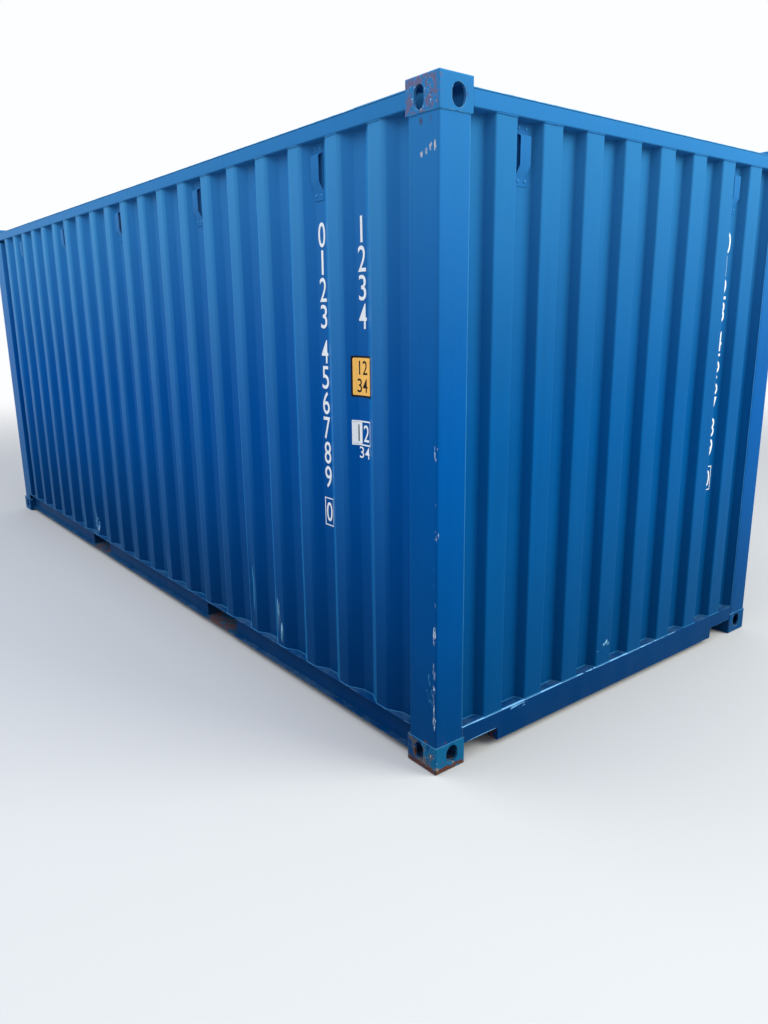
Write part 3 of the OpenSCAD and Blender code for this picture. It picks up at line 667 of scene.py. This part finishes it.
# Dents in the near wall: centre along, centre up, half sizes, and depth
DENTS = [
    (1.556, 0.40, 0.020, 0.16, 0.009),
    (1.49, 0.30, 0.030, 0.14, 0.004),
    (-0.96, 0.24, 0.060, 0.09, 0.016),
    (-1.25, 0.21, 0.050, 0.06, 0.008),
    (1.80, 0.30, 0.030, 0.12, 0.003),
    (0.42, 0.26, 0.040, 0.08, 0.004),
]
right_slack = slack(3.0, SIDE_SLACK, *side_ends)


def right_push(a, r):
    """The near wall's waves with its dents."""
    push = right_slack(a, r)
    for at, up_at, half_a, half_r, deep in DENTS:
        far = ((a - at) / half_a) ** 2 + ((r - up_at) / half_r) ** 2
        push += deep * math.exp(-far)
    return push


# Light blue of bare scratches, also laid on as painted highlights down the far ribs' bends
SCRATCH_AND_HIGHLIGHT = (0.26, 0.50, 0.64, 1)
CREASE_HIGHLIGHT = (0.03, 0.24, 0.44, 0.8)
wall_places = [
    ((1.815, wall_low.y, 0.33), (0.036, 0.02, 0.15), (3, 1, 0.12), 50.0, 0.50, SCRATCH_AND_HIGHLIGHT),
    ((1.848, wall_low.y, 0.24), (0.022, 0.02, 0.09), (3, 1, 0.2), 50.0, 0.50, SCRATCH_AND_HIGHLIGHT),
    ((1.830, wall_low.y, 0.30), (0.050, 0.02, 0.20), (2, 1, 0.2), 30.0, 0.42, SMEAR),
    # Painted highlights along the crease in the near wall, where its bent flat catches the light
    ((1.557, wall_low.y, 0.40), (0.010, 0.02, 0.24), (2, 1, 0.06), 26.0, 0.60, CREASE_HIGHLIGHT),
    ((1.535, wall_low.y, 0.40), (0.030, 0.02, 0.20), (2, 1, 0.15), 16.0, 0.42, CREASE_HIGHLIGHT),
    # A painted highlight on the far dent, beside real chips of primer
    ((-0.96, wall_low.y, 0.25), (0.22, 0.03, 0.12), (1, 1, 0.6), 34.0, 0.46, PAINTED_HIGHLIGHT),
    ((-0.92, wall_low.y, 0.21), (0.14, 0.03, 0.06), (1, 1, 0.6), 60.0, 0.44, PRIMER),
    # Painted highlights: thin light streaks down the bends of the far ribs
    ((-1.55, wall_low.y, 0.90), (1.10, 0.012, 0.30), (3, 1, 0.05), 26.0, 0.30, SCRATCH_AND_HIGHLIGHT),
]
wall_paint = steel_paint(
    "wall_paint", CONTAINER_BLUE, gloss=0.30, worn=0.22, rust=0.04, dust=0.30, foot_shade=0.68,
    ribs=0.26, places=wall_places,
)
right_wall = pressed_sheet(
    "right_wall_sheet", side_line, side_rows, RIGHT_FACE, RIGHT_AXES, right_push, wall_paint
)
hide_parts("right_side_wall")
left_slack = slack(11.0, SIDE_SLACK, *side_ends)
left_wall = pressed_sheet(
    "left_wall_sheet", side_line, side_rows, LEFT_FACE, LEFT_AXES, left_slack, wall_paint
)
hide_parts("left_side_wall")


# Front wall: the same sheet with deeper and squarer ribs, welded to the front posts, the
# front rail and the sill.
FRONT_PITCH, FRONT_FLAT, FRONT_SLOPE = 0.253, 0.110, 0.018
FRONT_SLACK = 0.0022
# The front wall's paint is a lit copy of the wall blue: painted light
front_paint = steel_paint(
    "front_paint", FRONT_LIT_BLUE, gloss=0.30, worn=0.25, rust=0.05, dust=0.30, foot_shade=0.40,
    places=[
        ((3.02, -0.43, 1.66), (0.02, 0.16, 0.30), (1, 1, 1), 34.0, 0.29, SCRATCH_AND_HIGHLIGHT),
        ((3.02, -0.55, 0.60), (0.02, 0.30, 0.40), (1, 1, 1), 30.0, 0.29, SCRATCH_AND_HIGHLIGHT),
        ((3.02, -0.13, 0.25), (0.02, 0.10, 0.10), (0.5, 0.5, 1), 36.0, 0.40, SCRATCH_AND_HIGHLIGHT),
    ],
)
front_low, front_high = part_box("front_wall")
front_depth = front_high.x - front_low.x - SHEET
front_skin = rib_skin(front_high.y, FRONT_PITCH, FRONT_FLAT, FRONT_SLOPE, front_depth)
front_line = round_bends(front_skin, BEND_CUT, BEND_STEPS)
front_rows = spread(front_low.z, front_high.z, GRID_STEP)
front_slack = slack(23.0, FRONT_SLACK, (front_low.y, front_high.y), (front_low.z, front_high.z))
FRONT_FACE, FRONT_AXES = Vector((front_high.x, 0, 0)), (Y, -X, Z)
front_wall = pressed_sheet(
    "front_wall_sheet", front_line, front_rows, FRONT_FACE, FRONT_AXES, front_slack, front_paint
)
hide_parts("front_wall")


# Welds: one run of bead wherever a wall meets a rail, a post or the sill, and round the
# posts at each casting. Laid by hand and by machine, then painted; most beads are painted
# in a lighter blue, a painted highlight where the bead catches the light.
WALL_BEAD, POST_BEAD, CASTING_BEAD, SILL_BEAD = 0.0032, 0.0026, 0.0034, 0.0022
WELD_STEP = 0.024
BEAD_RIPPLE = 0.45
BEAD_IN = 0.001
# A lighter blue for the beads: painted highlight
WELD_HIGHLIGHT_BLUE = (0.030, 0.18, 0.40, 1)
CORNER_IN = 0.006
SILL_WELD_FOOT = 0.120
weld_highlight_paint = steel_paint(
    "weld_highlight_paint", WELD_HIGHLIGHT_BLUE, gloss=0.30, worn=0.2, rust=0.08, dust=0.2, foot_shade=0.4
)


def weld_bead(name, lines, size=WALL_BEAD, finish=weld_highlight_paint):
    """Beads of weld along lines of points, a little uneven as a welder leaves them."""
    curve = bpy.data.curves.new(name, "CURVE")
    curve.dimensions = "3D"
    curve.bevel_depth = size
    curve.bevel_resolution = 1
    curve.use_fill_caps = True
    for line in lines:
        spline = curve.splines.new("POLY")
        spline.points.add(len(line) - 1)
        for point, at in zip(spline.points, line):
            point.co = (at.x, at.y, at.z, 1)
            point.radius = 1.0 + BEAD_RIPPLE * noise.noise(at * 60)
    mesh = mesh_of(curve)
    mesh.shade_smooth()
    return ride_along(name, mesh, finish)


def mesh_of(curve):
    """The mesh that a curve or a line of text makes."""
    holder = in_scene(curve.name, curve)
    bpy.context.view_layer.update()
    mesh = bpy.data.meshes.new_from_object(holder)
    bpy.data.objects.remove(holder)
    return mesh


def straight(start, end):
    """Points along a straight weld."""
    start, end = Vector(start), Vector(end)
    count = max(2, math.ceil((end - start).length / WELD_STEP))
    return [start.lerp(end, i / count) for i in range(count + 1)]


for level, z, finish in (("foot", wall_low.z, weld_highlight_paint), ("head", wall_high.z, wall_paint)):
    for wall, line, face, (along, inward, over) in (
        ("right", side_line, RIGHT_FACE, RIGHT_AXES),
        ("left", side_line, LEFT_FACE, LEFT_AXES),
        ("front", front_line, FRONT_FACE, FRONT_AXES),
    ):
        bead = [face + along * p[0] + inward * p[1] + over * z for p in line]
        weld_bead(f"{wall}_wall_{level}_weld", [bead], finish=finish)

post_welds = []
for x in (wall_low.x, wall_high.x):
    for y in (wall_low.y + wall_depth, -wall_low.y - wall_depth):
        post_welds.append(straight((x, y, wall_low.z), (x, y, wall_high.z)))
for y in (front_low.y, front_high.y):
    post_welds.append(straight((front_high.x, y, front_low.z), (front_high.x, y, front_high.z)))
weld_bead("post_welds", post_welds, POST_BEAD)

casting_welds = []
for end, out_x in (("front", 1), ("rear", -1)):
    for side, out_y in (("right", -1), ("left", 1)):
        low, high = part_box(f"{end}_{side}_post")
        outer_x, inner_x = (high.x, low.x) if out_x > 0 else (low.x, high.x)
        outer_y, inner_y = (high.y, low.y) if out_y > 0 else (low.y, high.y)
        for z in (low.z, high.z):
            casting_welds.append(
                straight((inner_x, outer_y, z), (outer_x - out_x * CORNER_IN, outer_y, z))
                + straight((outer_x, outer_y - out_y * CORNER_IN, z), (outer_x, inner_y, z))
            )
weld_bead("casting_welds", casting_welds, CASTING_BEAD)

sill_welds = []
for side in (-1, 1):
    x, y = sill_high.x - BEAD_IN, side * (sill_high.y + BEAD_IN)
    sill_welds.append(straight((x, y, SILL_WELD_FOOT), (x, y, sill_high.z)))
weld_bead("sill_welds", sill_welds, SILL_BEAD, base_paint)


# Roof: one sheet pressed up into low ribs that die out before its edges, so that water
# runs off. It is lap welded to the top rails, with a plate at each corner where lifting
# gear comes down, and it carries shallow dents from feet and gear.
ROOF_PITCH, ROOF_FLAT, ROOF_SLOPE = 0.209, 0.091, 0.0135
ROOF_BEND_CUT, ROOF_BEND_STEPS = 0.0045, 2
ROOF_MARGIN = 0.075
RAIL_WIDTH = 0.060
RIB_OVERRUN = 0.004
ROOF_TAPER = 0.045
TAPER_STEP, ROOF_STEP = 0.009, 0.07
ROOF_SLACK = 0.0045
LAP_BEAD = 0.0024
CORNER_PLATE_EDGE = 0.0008
roof_low, roof_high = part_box("roof_sheet")
roof_base = roof_low.z + SHEET
ROOF_DEPTH = roof_high.z - roof_base
cast_low, cast_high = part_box("front_right_top_casting")
run = roof_high.x - RAIL_WIDTH - ROOF_MARGIN
count = math.floor((2 * run - ROOF_FLAT) / ROOF_PITCH) + 1
line = [(roof_low.x, 0.0), (-cast_low.x, 0.0)]
for i in range(count):
    centre = (i - (count - 1) / 2) * ROOF_PITCH
    line += [(centre - ROOF_FLAT / 2 - ROOF_SLOPE, 0.0), (centre - ROOF_FLAT / 2, ROOF_DEPTH)]
    line += [(centre + ROOF_FLAT / 2, ROOF_DEPTH), (centre + ROOF_FLAT / 2 + ROOF_SLOPE, 0.0)]
line += [(cast_low.x, 0.0), (roof_high.x, 0.0)]
line.sort(key=lambda p: p[0])
roof_line = round_bends(line, ROOF_BEND_CUT, ROOF_BEND_STEPS)
roof_half = roof_high.y
casting_in = -cast_high.y
inner_half = roof_half - ROOF_MARGIN + RIB_OVERRUN
taper_foot = inner_half - ROOF_TAPER
roof_rows = [-roof_half, -casting_in]
roof_rows += spread(-inner_half, -taper_foot, TAPER_STEP)
roof_rows += spread(-taper_foot, taper_foot, ROOF_STEP)[1:-1]
roof_rows += spread(taper_foot, inner_half, TAPER_STEP)
roof_rows += [casting_in, roof_half]
roof_rows = sorted(set(round(y, 5) for y in roof_rows))


def roof_height(y):
    """How much of a rib's height is left this far from the middle line."""
    t = max(0.0, min(1.0, (inner_half - abs(y)) / ROOF_TAPER))
    return t * t * (3 - 2 * t)


def roof_sag(x, y):
    """Shallow hollows that the roof has taken between its edges."""
    rim = min(1.0, (roof_half - 0.08 - abs(y)) / 0.25, (roof_high.x - 0.1 - abs(x)) / 0.25)
    return ROOF_SLACK * max(0.0, rim) * (noise.noise(Vector((x * 1.7, y * 1.7, 7.0))) - 0.4)


def clear_of_castings(r, i):
    """Whether a face of the grid is sheet, which is cut away at the four castings."""
    mid_x = abs(roof_line[i][0] + roof_line[i + 1][0]) / 2
    mid_y = abs(roof_rows[r] + roof_rows[r + 1]) / 2
    return mid_x < cast_low.x or mid_y < casting_in


vertices = [
    (p[0], y, roof_base + p[1] * roof_height(y) + roof_sag(p[0], y))
    for y in roof_rows for p in roof_line
]
faces = grid_faces(len(roof_rows), len(roof_line), clear_of_castings)
roof_paint = steel_paint(
    "roof_paint", CONTAINER_BLUE, gloss=0.45, worn=0.35, rust=0.20, rust_grain=4.0, dust=0.75
)
roof = thicken(new_piece("roof_pressing", vertices, faces, roof_paint), SHEET)
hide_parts("roof_sheet")
dress_nodes(["roof_corner_plates"], CORNER_PLATE_EDGE, roof_paint)

lap_z = roof_base - BEAD_IN
lap_x, lap_y = roof_high.x - BEAD_IN, roof_half - BEAD_IN
roof_welds = [
    straight((-cast_low.x, y, lap_z), (cast_low.x, y, lap_z)) for y in (-lap_y, lap_y)
]
roof_welds.append(straight((lap_x, -casting_in, lap_z), (lap_x, casting_in, lap_z)))
weld_bead("roof_welds", roof_welds, LAP_BEAD)


# Vents: small pressed hoods over a few holes in the wall, open at both sides, each held
# by four round-headed screws through its flange. The hoods are painted with the wall, and
# the screw heads in the welds' lighter blue as a painted highlight.
VENTS_A_SIDE = 5
VENT_STEP = 4 * SIDE_PITCH
FRONT_RECESS = 3 * FRONT_PITCH
VENT_PLATE = 0.002
VENT_EDGE = 0.0007
SCREW, SCREW_DOME, SCREW_SIDES = 0.0065, 0.0035, 12
VENT_SCREW_OUT = 0.019
VENT_SCREW_TOP = 0.017
VENT_SCREW_FOOT = 0.019


def screw_heads(name, spots, material, slot="container_paint", radius=SCREW, dome=SCREW_DOME):
    """Round heads standing on a surface: each spot is its place and the way it faces."""
    rings = ((1.0, 0.0), (1.0, 0.35), (0.82, 0.72), (0.45, 0.95))
    sides = SCREW_SIDES
    vertices, faces = [], []
    for at, outward in spots:
        out = Vector(outward).normalized()
        first = out.orthogonal().normalized()
        second = out.cross(first)
        base = len(vertices)
        for wide, tall in rings:
            for k in range(sides):
                turn = 2 * math.pi * k / sides
                flat = (first * math.cos(turn) + second * math.sin(turn)) * radius * wide
                vertices.append(Vector(at) + flat + out * dome * tall)
        for r in range(len(rings) - 1):
            for k in range(sides):
                a, b = base + r * sides + k, base + r * sides + (k + 1) % sides
                faces.append((a, b, b + sides, a + sides))
        last = base + (len(rings) - 1) * sides
        faces.append([last + k for k in range(sides)])
        faces.append([base + k for k in reversed(range(sides))])
    return new_piece(name, vertices, faces, material)


dress_nodes(["right_side_vents", "left_side_vents", "front_vents"], VENT_EDGE, wall_paint)
vent_low, vent_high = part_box("right_side_vents")
screw_rows = (vent_high.z - VENT_SCREW_TOP, vent_low.z + VENT_SCREW_FOOT)
side_flange = wall_high.y - SHEET - VENT_PLATE
front_flange = front_low.x + SHEET + VENT_PLATE
vent_screws = []
for side in (-1, 1):
    for i in range(VENTS_A_SIDE):
        for out_x in (-VENT_SCREW_OUT, VENT_SCREW_OUT):
            x = SIDE_SHIFT + (i - (VENTS_A_SIDE - 1) / 2) * VENT_STEP + out_x
            vent_screws += [((x, side * -side_flange, z), (0, side, 0)) for z in screw_rows]
for side in (-1, 1):
    for out_y in (-VENT_SCREW_OUT, VENT_SCREW_OUT):
        y = side * FRONT_RECESS + out_y
        vent_screws += [((front_flange, y, z), (1, 0, 0)) for z in screw_rows]
# The screw heads take the welds' lighter blue: painted highlight
screw_heads("vent_screws", vent_screws, weld_highlight_paint)


# Doors: two leaves of square tube with a ribbed sheet welded in, hung on four hinges each
# and sealed all round by a rubber lip. Painted with the container.
DOOR_PITCH, DOOR_FLAT, DOOR_SLOPE = 0.380, 0.150, 0.050
DOOR_SLACK = 0.0016
HINGE_EDGE = 0.0015
SEAL_EDGE = 0.002
RUBBER_BLACK = (0.012, 0.012, 0.013, 1)
RUBBER_BLOOM = (0.06, 0.06, 0.06, 1)
door_paint = steel_paint(
    "door_paint", CONTAINER_BLUE, gloss=0.31, worn=0.35, rust=0.08, dust=0.30
)
for side, seed in (("right", 31.0), ("left", 37.0)):
    dress_nodes([f"{side}_door_frame"], PLATE_EDGE, door_paint)
    low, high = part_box(f"{side}_door_panel")
    middle = (low + high) / 2
    half = (high.z - low.z) / 2
    skin = rib_skin(half, DOOR_PITCH, DOOR_FLAT, DOOR_SLOPE, high.x - low.x - SHEET)
    panel_line = round_bends(skin, BEND_CUT, BEND_STEPS)
    half_across = (high.y - low.y) / 2
    panel_rows = spread(-half_across, half_across, GRID_STEP)
    panel = pressed_sheet(
        f"{side}_door_sheet", panel_line, panel_rows, Vector((low.x, middle.y, middle.z)),
        (Z, X, Y), slack(seed, DOOR_SLACK, (-half, half), (-half_across, half_across)), door_paint,
    )
    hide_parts(f"{side}_door_panel")
dress_nodes(["door_hinges"], HINGE_EDGE, door_paint)

rubber, tree, shader = blank_finish("seal_rubber")
bloom = band(tree, grain(tree, 12.0, 5.0), 0.45, 0.8)
feed(tree, shader, {
    "Base Color": blend(tree, times(tree, bloom, 0.5), RUBBER_BLACK, RUBBER_BLOOM),
    "Roughness": plus(tree, times(tree, bloom, 0.2), 0.6),
    "Normal": relief(tree, times(tree, grain(tree, 300.0, 2.0), 0.0001)),
})
dress_nodes(["door_seals"], SEAL_EDGE, rubber)


# Door gear: lock rods of steel tube in brackets, cams in keepers at the header and the
# sill, and flat handles in catches. Dipped in zinc, and bolted on with round-headed bolts.
ZINC_LIGHT = (0.50, 0.52, 0.54, 1)
ZINC_DARK = (0.26, 0.28, 0.30, 1)
ZINC_DULL = (0.30, 0.31, 0.31, 1)
zinc, tree, shader = blank_finish("zinc_steel")
spangle = place(tree, "TexVoronoi", {"Vector": here(tree), "Scale": 90.0}).outputs["Color"]
spangle = place(tree, "SeparateColor", {0: spangle}).outputs["Red"]
dull = band(tree, grain(tree, 6.0, 6.0), 0.3, 0.75)
colour = blend(tree, times(tree, spangle, 0.55), ZINC_LIGHT, ZINC_DARK)
colour = blend(tree, times(tree, dull, 0.5), colour, ZINC_DULL)
spots = use(tree, RUST, {"Amount": 0.26, "Grain": 16.0})
rough = plus(tree, times(tree, dull, 0.2), 0.38)
feed(tree, shader, {
    "Base Color": blend(tree, spots["Mask"], colour, spots["Color"]),
    "Roughness": maths(tree, "MAXIMUM", rough, times(tree, spots["Mask"], 0.85)),
    "Metallic": times(tree, minus(tree, 1.0, spots["Mask"]), 0.85),
    "Normal": relief(tree, times(tree, spots["Height"], spots["Mask"])),
})
GEAR = ["lock_rods", "rod_brackets", "cam_keepers", "door_handles", "handle_catches"]
dress_nodes(GEAR, PLATE_EDGE, zinc)

RODS = (0.190, 0.870)
BRACKET_PLATE = 0.004
BRACKET_BOLT = (0.006, 0.004)
BRACKET_BOLT_OUT = 0.0305
CROSSBAR = 0.150
leaf_low, leaf_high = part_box("right_door_frame")
leaf_mid = (leaf_low.z + leaf_high.z) / 2
bracket_heights = (
    leaf_low.z + CROSSBAR / 2, leaf_mid - DOOR_PITCH, leaf_mid + DOOR_PITCH,
    leaf_high.z - CROSSBAR / 2,
)
bolts = [
    ((leaf_low.x - BRACKET_PLATE, side * rod + out_y, z), (-1, 0, 0))
    for side in (-1, 1) for rod in RODS for z in bracket_heights
    for out_y in (-BRACKET_BOLT_OUT, BRACKET_BOLT_OUT)
]
screw_heads("bracket_bolts", bolts, zinc, "zinc_steel", *BRACKET_BOLT)

HINGES = 4
HINGE_BLADE = 0.008
HINGE_BOLT = (0.009, 0.006)
HINGE_BOLT_IN = 0.098
HINGE_BOLT_STEP = 0.050
bolts = []
for i in range(HINGES):
    z = leaf_low.z + (leaf_high.z - leaf_low.z) * (i + 0.5) / HINGES
    for step in (-HINGE_BOLT_STEP, 0.0, HINGE_BOLT_STEP):
        for side in (-1, 1):
            y = side * (cad_high.y - HINGE_BOLT_IN)
            bolts.append(((leaf_low.x - HINGE_BLADE, y, z + step), (-1, 0, 0)))
screw_heads("hinge_bolts", bolts, door_paint, "container_paint", *HINGE_BOLT)


# Markings: plain numbers sprayed white through a stencil in the recesses of two walls,
# and a yellow panel with a black border stuck on below them.
MARK_WHITE = (0.72, 0.76, 0.78, 1)
PANEL_YELLOW = (0.84, 0.47, 0.11, 1)
PANEL_BLACK = (0.006, 0.006, 0.008, 1)
FILM = 0.0004
FILM_STEP = 0.006
FILM_CLIP = 0.004
MARK_LIFT = 0.0010
STROKE_OUT = 0.003
FULL_NUMERAL = 0.55


def sprayed(name, colour, rough):
    """Thin stencil paint or film, a little scuffed."""
    material, tree, shader = blank_finish(name)
    tone = use(tree, PAINT_TONE, {"Paint": colour, "Patches": 0.2, "Runs": 0.25})
    scuff = band(tree, grain(tree, 60.0, 6.0, (1, 1, 0.5), 0.7), 0.66, 0.72)
    feed(tree, shader, {
        "Base Color": blend(tree, times(tree, scuff, 0.55), tone["Color"], CONTAINER_BLUE),
        "Roughness": plus(tree, tone["Roughness"], rough),
        "Specular IOR Level": 0.1,
    })
    return material


mark_white = sprayed("mark_white", MARK_WHITE, 0.45)
panel_yellow = sprayed("panel_yellow", PANEL_YELLOW, 0.4)
panel_black = sprayed("panel_black", PANEL_BLACK, 0.4)


def skin_depth(line, a):
    """How deep the skin line lies at this place along it."""
    for before, after in zip(line, line[1:]):
        if before[0] <= a <= after[0]:
            t = (a - before[0]) / max(after[0] - before[0], 1e-9)
            return before[1] + (after[1] - before[1]) * t
    return 0.0


def on_wall(name, vertices, faces, spot, wall, material, lift):
    """A flat shape laid on a ribbed wall: its own x and y become along and up, and it
    follows the wall's folds and waves."""
    line, origin, axes, push = wall
    along, inward, over = axes
    placed = []
    for v in vertices:
        a, r = spot[0] + v[0], spot[1] + v[1]
        deep = skin_depth(line, a) + push(a, r) - lift - v[2]
        placed.append(origin + along * a + inward * deep + over * r)
    piece = new_piece(name, placed, faces, material)
    piece.data.shade_flat()
    return piece


def numeral_shape(digit, wide, tall):
    """The outline of one plain numeral, scaled to a width and a height."""
    curve = bpy.data.curves.new("numeral", "FONT")
    curve.body = digit
    curve.offset = STROKE_OUT
    curve.extrude = FILM / 2
    shape = mesh_of(curve)
    corners = [v.co.copy() for v in shape.vertices]
    faces = [tuple(p.vertices) for p in shape.polygons]
    bpy.data.meshes.remove(shape)
    low_x, high_x = min(c.x for c in corners), max(c.x for c in corners)
    low_y, high_y = min(c.y for c in corners), max(c.y for c in corners)
    shrink = wide / max(FULL_NUMERAL * (high_y - low_y), high_x - low_x)
    return [
        (
            (c.x - (low_x + high_x) / 2) * shrink,
            ((c.y - low_y) / (high_y - low_y) - 0.5) * tall,
            c.z,
        ) for c in corners
    ], faces


def numerals(name, digits, spot, pitch, wide, tall, wall, material, lift=MARK_LIFT):
    """A column of numerals from the top down, or a row if the pitch is negative."""
    vertices, faces = [], []
    for i, digit in enumerate(digits):
        shape, sides = numeral_shape(digit, wide, tall)
        move = (-pitch * i, 0.0) if pitch < 0 else (0.0, -pitch * i)
        base = len(vertices)
        vertices += [(x + move[0], y + move[1], z) for x, y, z in shape]
        faces += [tuple(base + k for k in side) for side in sides]
    return on_wall(name, vertices, faces, spot, wall, material, lift)


def film(name, wide, tall, spot, wall, material, lift, line=None):
    """A thin film cut as a rectangle with clipped corners, or as a frame of that line width."""
    rim = line or FILM_CLIP
    columns = [-wide / 2] + spread(rim - wide / 2, wide / 2 - rim, FILM_STEP) + [wide / 2]
    rows = [-tall / 2, rim - tall / 2, tall / 2 - rim, tall / 2]
    vertices = []
    for y in rows:
        for x in columns:
            if line is None and abs(x) == wide / 2 and abs(y) == tall / 2:
                vertices.append((x * (1 - rim / wide), y * (1 - rim / tall), 0.0))
            else:
                vertices.append((x, y, 0.0))
    n = len(columns)
    faces = grid_faces(len(rows), n, lambda r, i: line is None or r != 1 or i in (0, n - 2))
    piece = on_wall(name, vertices, facing_out(faces, wall[2]), spot, wall, material, lift)
    thick = piece.modifiers.new("film", "SOLIDIFY")
    thick.thickness = FILM
    thick.offset = -1.0
    return piece


near_wall = (side_line, RIGHT_FACE, RIGHT_AXES, right_push)
end_wall = (front_line, FRONT_FACE, FRONT_AXES, front_slack)
NEAR_RECESS = SIDE_SHIFT + 9 * SIDE_PITCH
NEXT_RECESS = SIDE_SHIFT + 8 * SIDE_PITCH
TALL, WIDE, LINE = 0.098, 0.050, 0.110
UPPER_Z, MIDDLE_Z, BOX_Z = 2.139, 1.663, 0.952


def number_column(name, across, wall):
    """Four numerals, six more after a short space, and one in a box at the foot."""
    numerals(name + "_upper", "0123", (across, UPPER_Z), LINE, WIDE, TALL, wall, mark_white)
    numerals(name + "_middle", "456789", (across, MIDDLE_Z), LINE, WIDE, TALL, wall, mark_white)
    film(name + "_box", 0.070, 0.130, (across, BOX_Z), wall, mark_white, MARK_LIFT, 0.005)
    numerals(name + "_boxed", "0", (across, BOX_Z), LINE, 0.044, 0.088, wall, mark_white)


near = NEAR_RECESS + 0.004
number_column("side_number", NEXT_RECESS + 0.007, near_wall)
number_column("end_number", FRONT_RECESS, end_wall)
numerals("size_number", "1234", (near, UPPER_Z), LINE, WIDE, TALL, near_wall, mark_white)

at = (near - 0.002, 1.570)
film("panel_border", 0.134, 0.167, at, near_wall, panel_black, MARK_LIFT)
film("yellow_panel", 0.118, 0.151, at, near_wall, panel_yellow, MARK_LIFT + FILM)
for name, digits, rise in (
    ("panel_numbers_above", "12", 0.036), ("panel_numbers_below", "34", -0.036),
):
    first = (at[0] - 0.026, at[1] + rise)
    lift = MARK_LIFT + FILM * 2
    numerals(name, digits, first, -0.036, 0.030, 0.056, near_wall, panel_black, lift)

x, z = near - 0.010, 1.338
film("plain_frame", 0.116, 0.104, (x, z), near_wall, mark_white, MARK_LIFT, 0.006)
film("frame_block", 0.046, 0.090, (x - 0.029, z), near_wall, mark_white, MARK_LIFT)
lift = MARK_LIFT + FILM
numerals("block_number", "1", (x - 0.028, z), LINE, 0.020, 0.070, near_wall, panel_black, lift)
numerals("frame_number", "2", (x + 0.022, z), LINE, 0.036, 0.070, near_wall, mark_white)
at = (x - 0.011, 1.257)
numerals("small_numbers", "34", at, -0.039, 0.031, 0.048, near_wall, mark_white)


# Floor, lamps and camera: a pale studio floor under a soft sky and three large lamps, with
# the camera at the photo's place. Its lens is that of a 36 mm sensor along the long side.
CAMERA_AT = Vector((5.11393, -3.11205, 1.81434))
AZIMUTH = math.radians(51.753)
ELEVATION = math.radians(14.141)
ROLL = math.radians(-0.672)
LENS = 27.525
HALF_FLOOR = 60.0
FLOOR_SEEN = (0.46, 0.47, 0.48, 1)
FLOOR_LIT = (0.20, 0.20, 0.20, 1)
SKY_LEVEL = 0.95
SKY_SEEN = (0.98, 0.99, 1.0, 1)
SKY_LIGHT = (0.85, 0.90, 1.0, 1)


def seen_ray(tree):
    """1 for what the camera sees, straight or in a reflection, and 0 for light on its way."""
    rays = place(tree, "LightPath").outputs
    seen = maths(tree, "MAXIMUM", rays["Is Camera Ray"], rays["Is Glossy Ray"])
    return maths(tree, "MAXIMUM", seen, rays["Is Transmission Ray"])


ahead = Vector((
    -math.sin(AZIMUTH) * math.cos(ELEVATION),
    math.cos(AZIMUTH) * math.cos(ELEVATION),
    -math.sin(ELEVATION),
))
level = ahead.cross(Z).normalized()
upright = level.cross(ahead)
right = level * math.cos(ROLL) + upright * math.sin(ROLL)
up = upright * math.cos(ROLL) - level * math.sin(ROLL)
lens = bpy.data.cameras.new("camera")
lens.lens = LENS
lens.sensor_width = 36.0
camera = in_scene("camera", lens)
camera.matrix_world = Matrix((
    (right.x, up.x, -ahead.x, CAMERA_AT.x),
    (right.y, up.y, -ahead.y, CAMERA_AT.y),
    (right.z, up.z, -ahead.z, CAMERA_AT.z),
    (0, 0, 0, 1),
))
bpy.context.scene.camera = camera

mesh = bpy.data.meshes.new("floor")
mesh.from_pydata(
    [(x * HALF_FLOOR, y * HALF_FLOOR, 0) for x, y in ((-1, -1), (1, -1), (1, 1), (-1, 1))],
    [], [(0, 1, 2, 3)],
)
concrete, tree, shader = blank_finish("floor")
far = vector(tree, "LENGTH", {0: here(tree)})["Value"]
feed(tree, shader, {
    "Base Color": blend(tree, seen_ray(tree), FLOOR_LIT, FLOOR_SEEN), "Roughness": 0.9,
    "Specular IOR Level": 0.1, "Alpha": minus(tree, 1.0, band(tree, far, 4.5, 15.0)),
})
floor = dress(in_scene("floor", mesh), concrete)
floor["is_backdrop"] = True

world = bpy.data.worlds.new("sky")
bpy.context.scene.world = world
world.use_nodes = True
sky = world.node_tree
seen = seen_ray(sky)
feed(sky, sky.nodes["Background"], {
    "Color": blend(sky, seen, SKY_LIGHT, SKY_SEEN),
    "Strength": place(sky, "Mix", {0: seen, 2: SKY_LEVEL, 3: 1.0}).outputs[0],
})


def soft_lamp(name, at, aim, size, power, colour=(1, 1, 1)):
    """A large lamp that faces its aim and shows no hot spot in the paint."""
    lamp = bpy.data.lights.new(name, "AREA")
    lamp.color = colour
    lamp.shape = "RECTANGLE"
    lamp.size, lamp.size_y = size
    lamp.energy = power
    holder = in_scene(name, lamp)
    holder.location = at
    holder.rotation_euler = (Vector(aim) - Vector(at)).to_track_quat("-Z", "Y").to_euler()
    holder.visible_glossy = False


soft_lamp("side_lamp", (-7.0, -9.0, 7.0), (0, -1.2, 1.2), (9.0, 6.0), 200)
soft_lamp("front_lamp", (9.0, 4.0, 6.0), (3.0, 0, 1.2), (6.0, 5.0), 990, (1, 0.98, 0.87))
soft_lamp("top_lamp", (1.5, -3.5, 6.5), (1.5, -2.0, 0), (11.0, 6.0), 420)
bpy.context.scene.view_settings.view_transform = "Standard"

low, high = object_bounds()
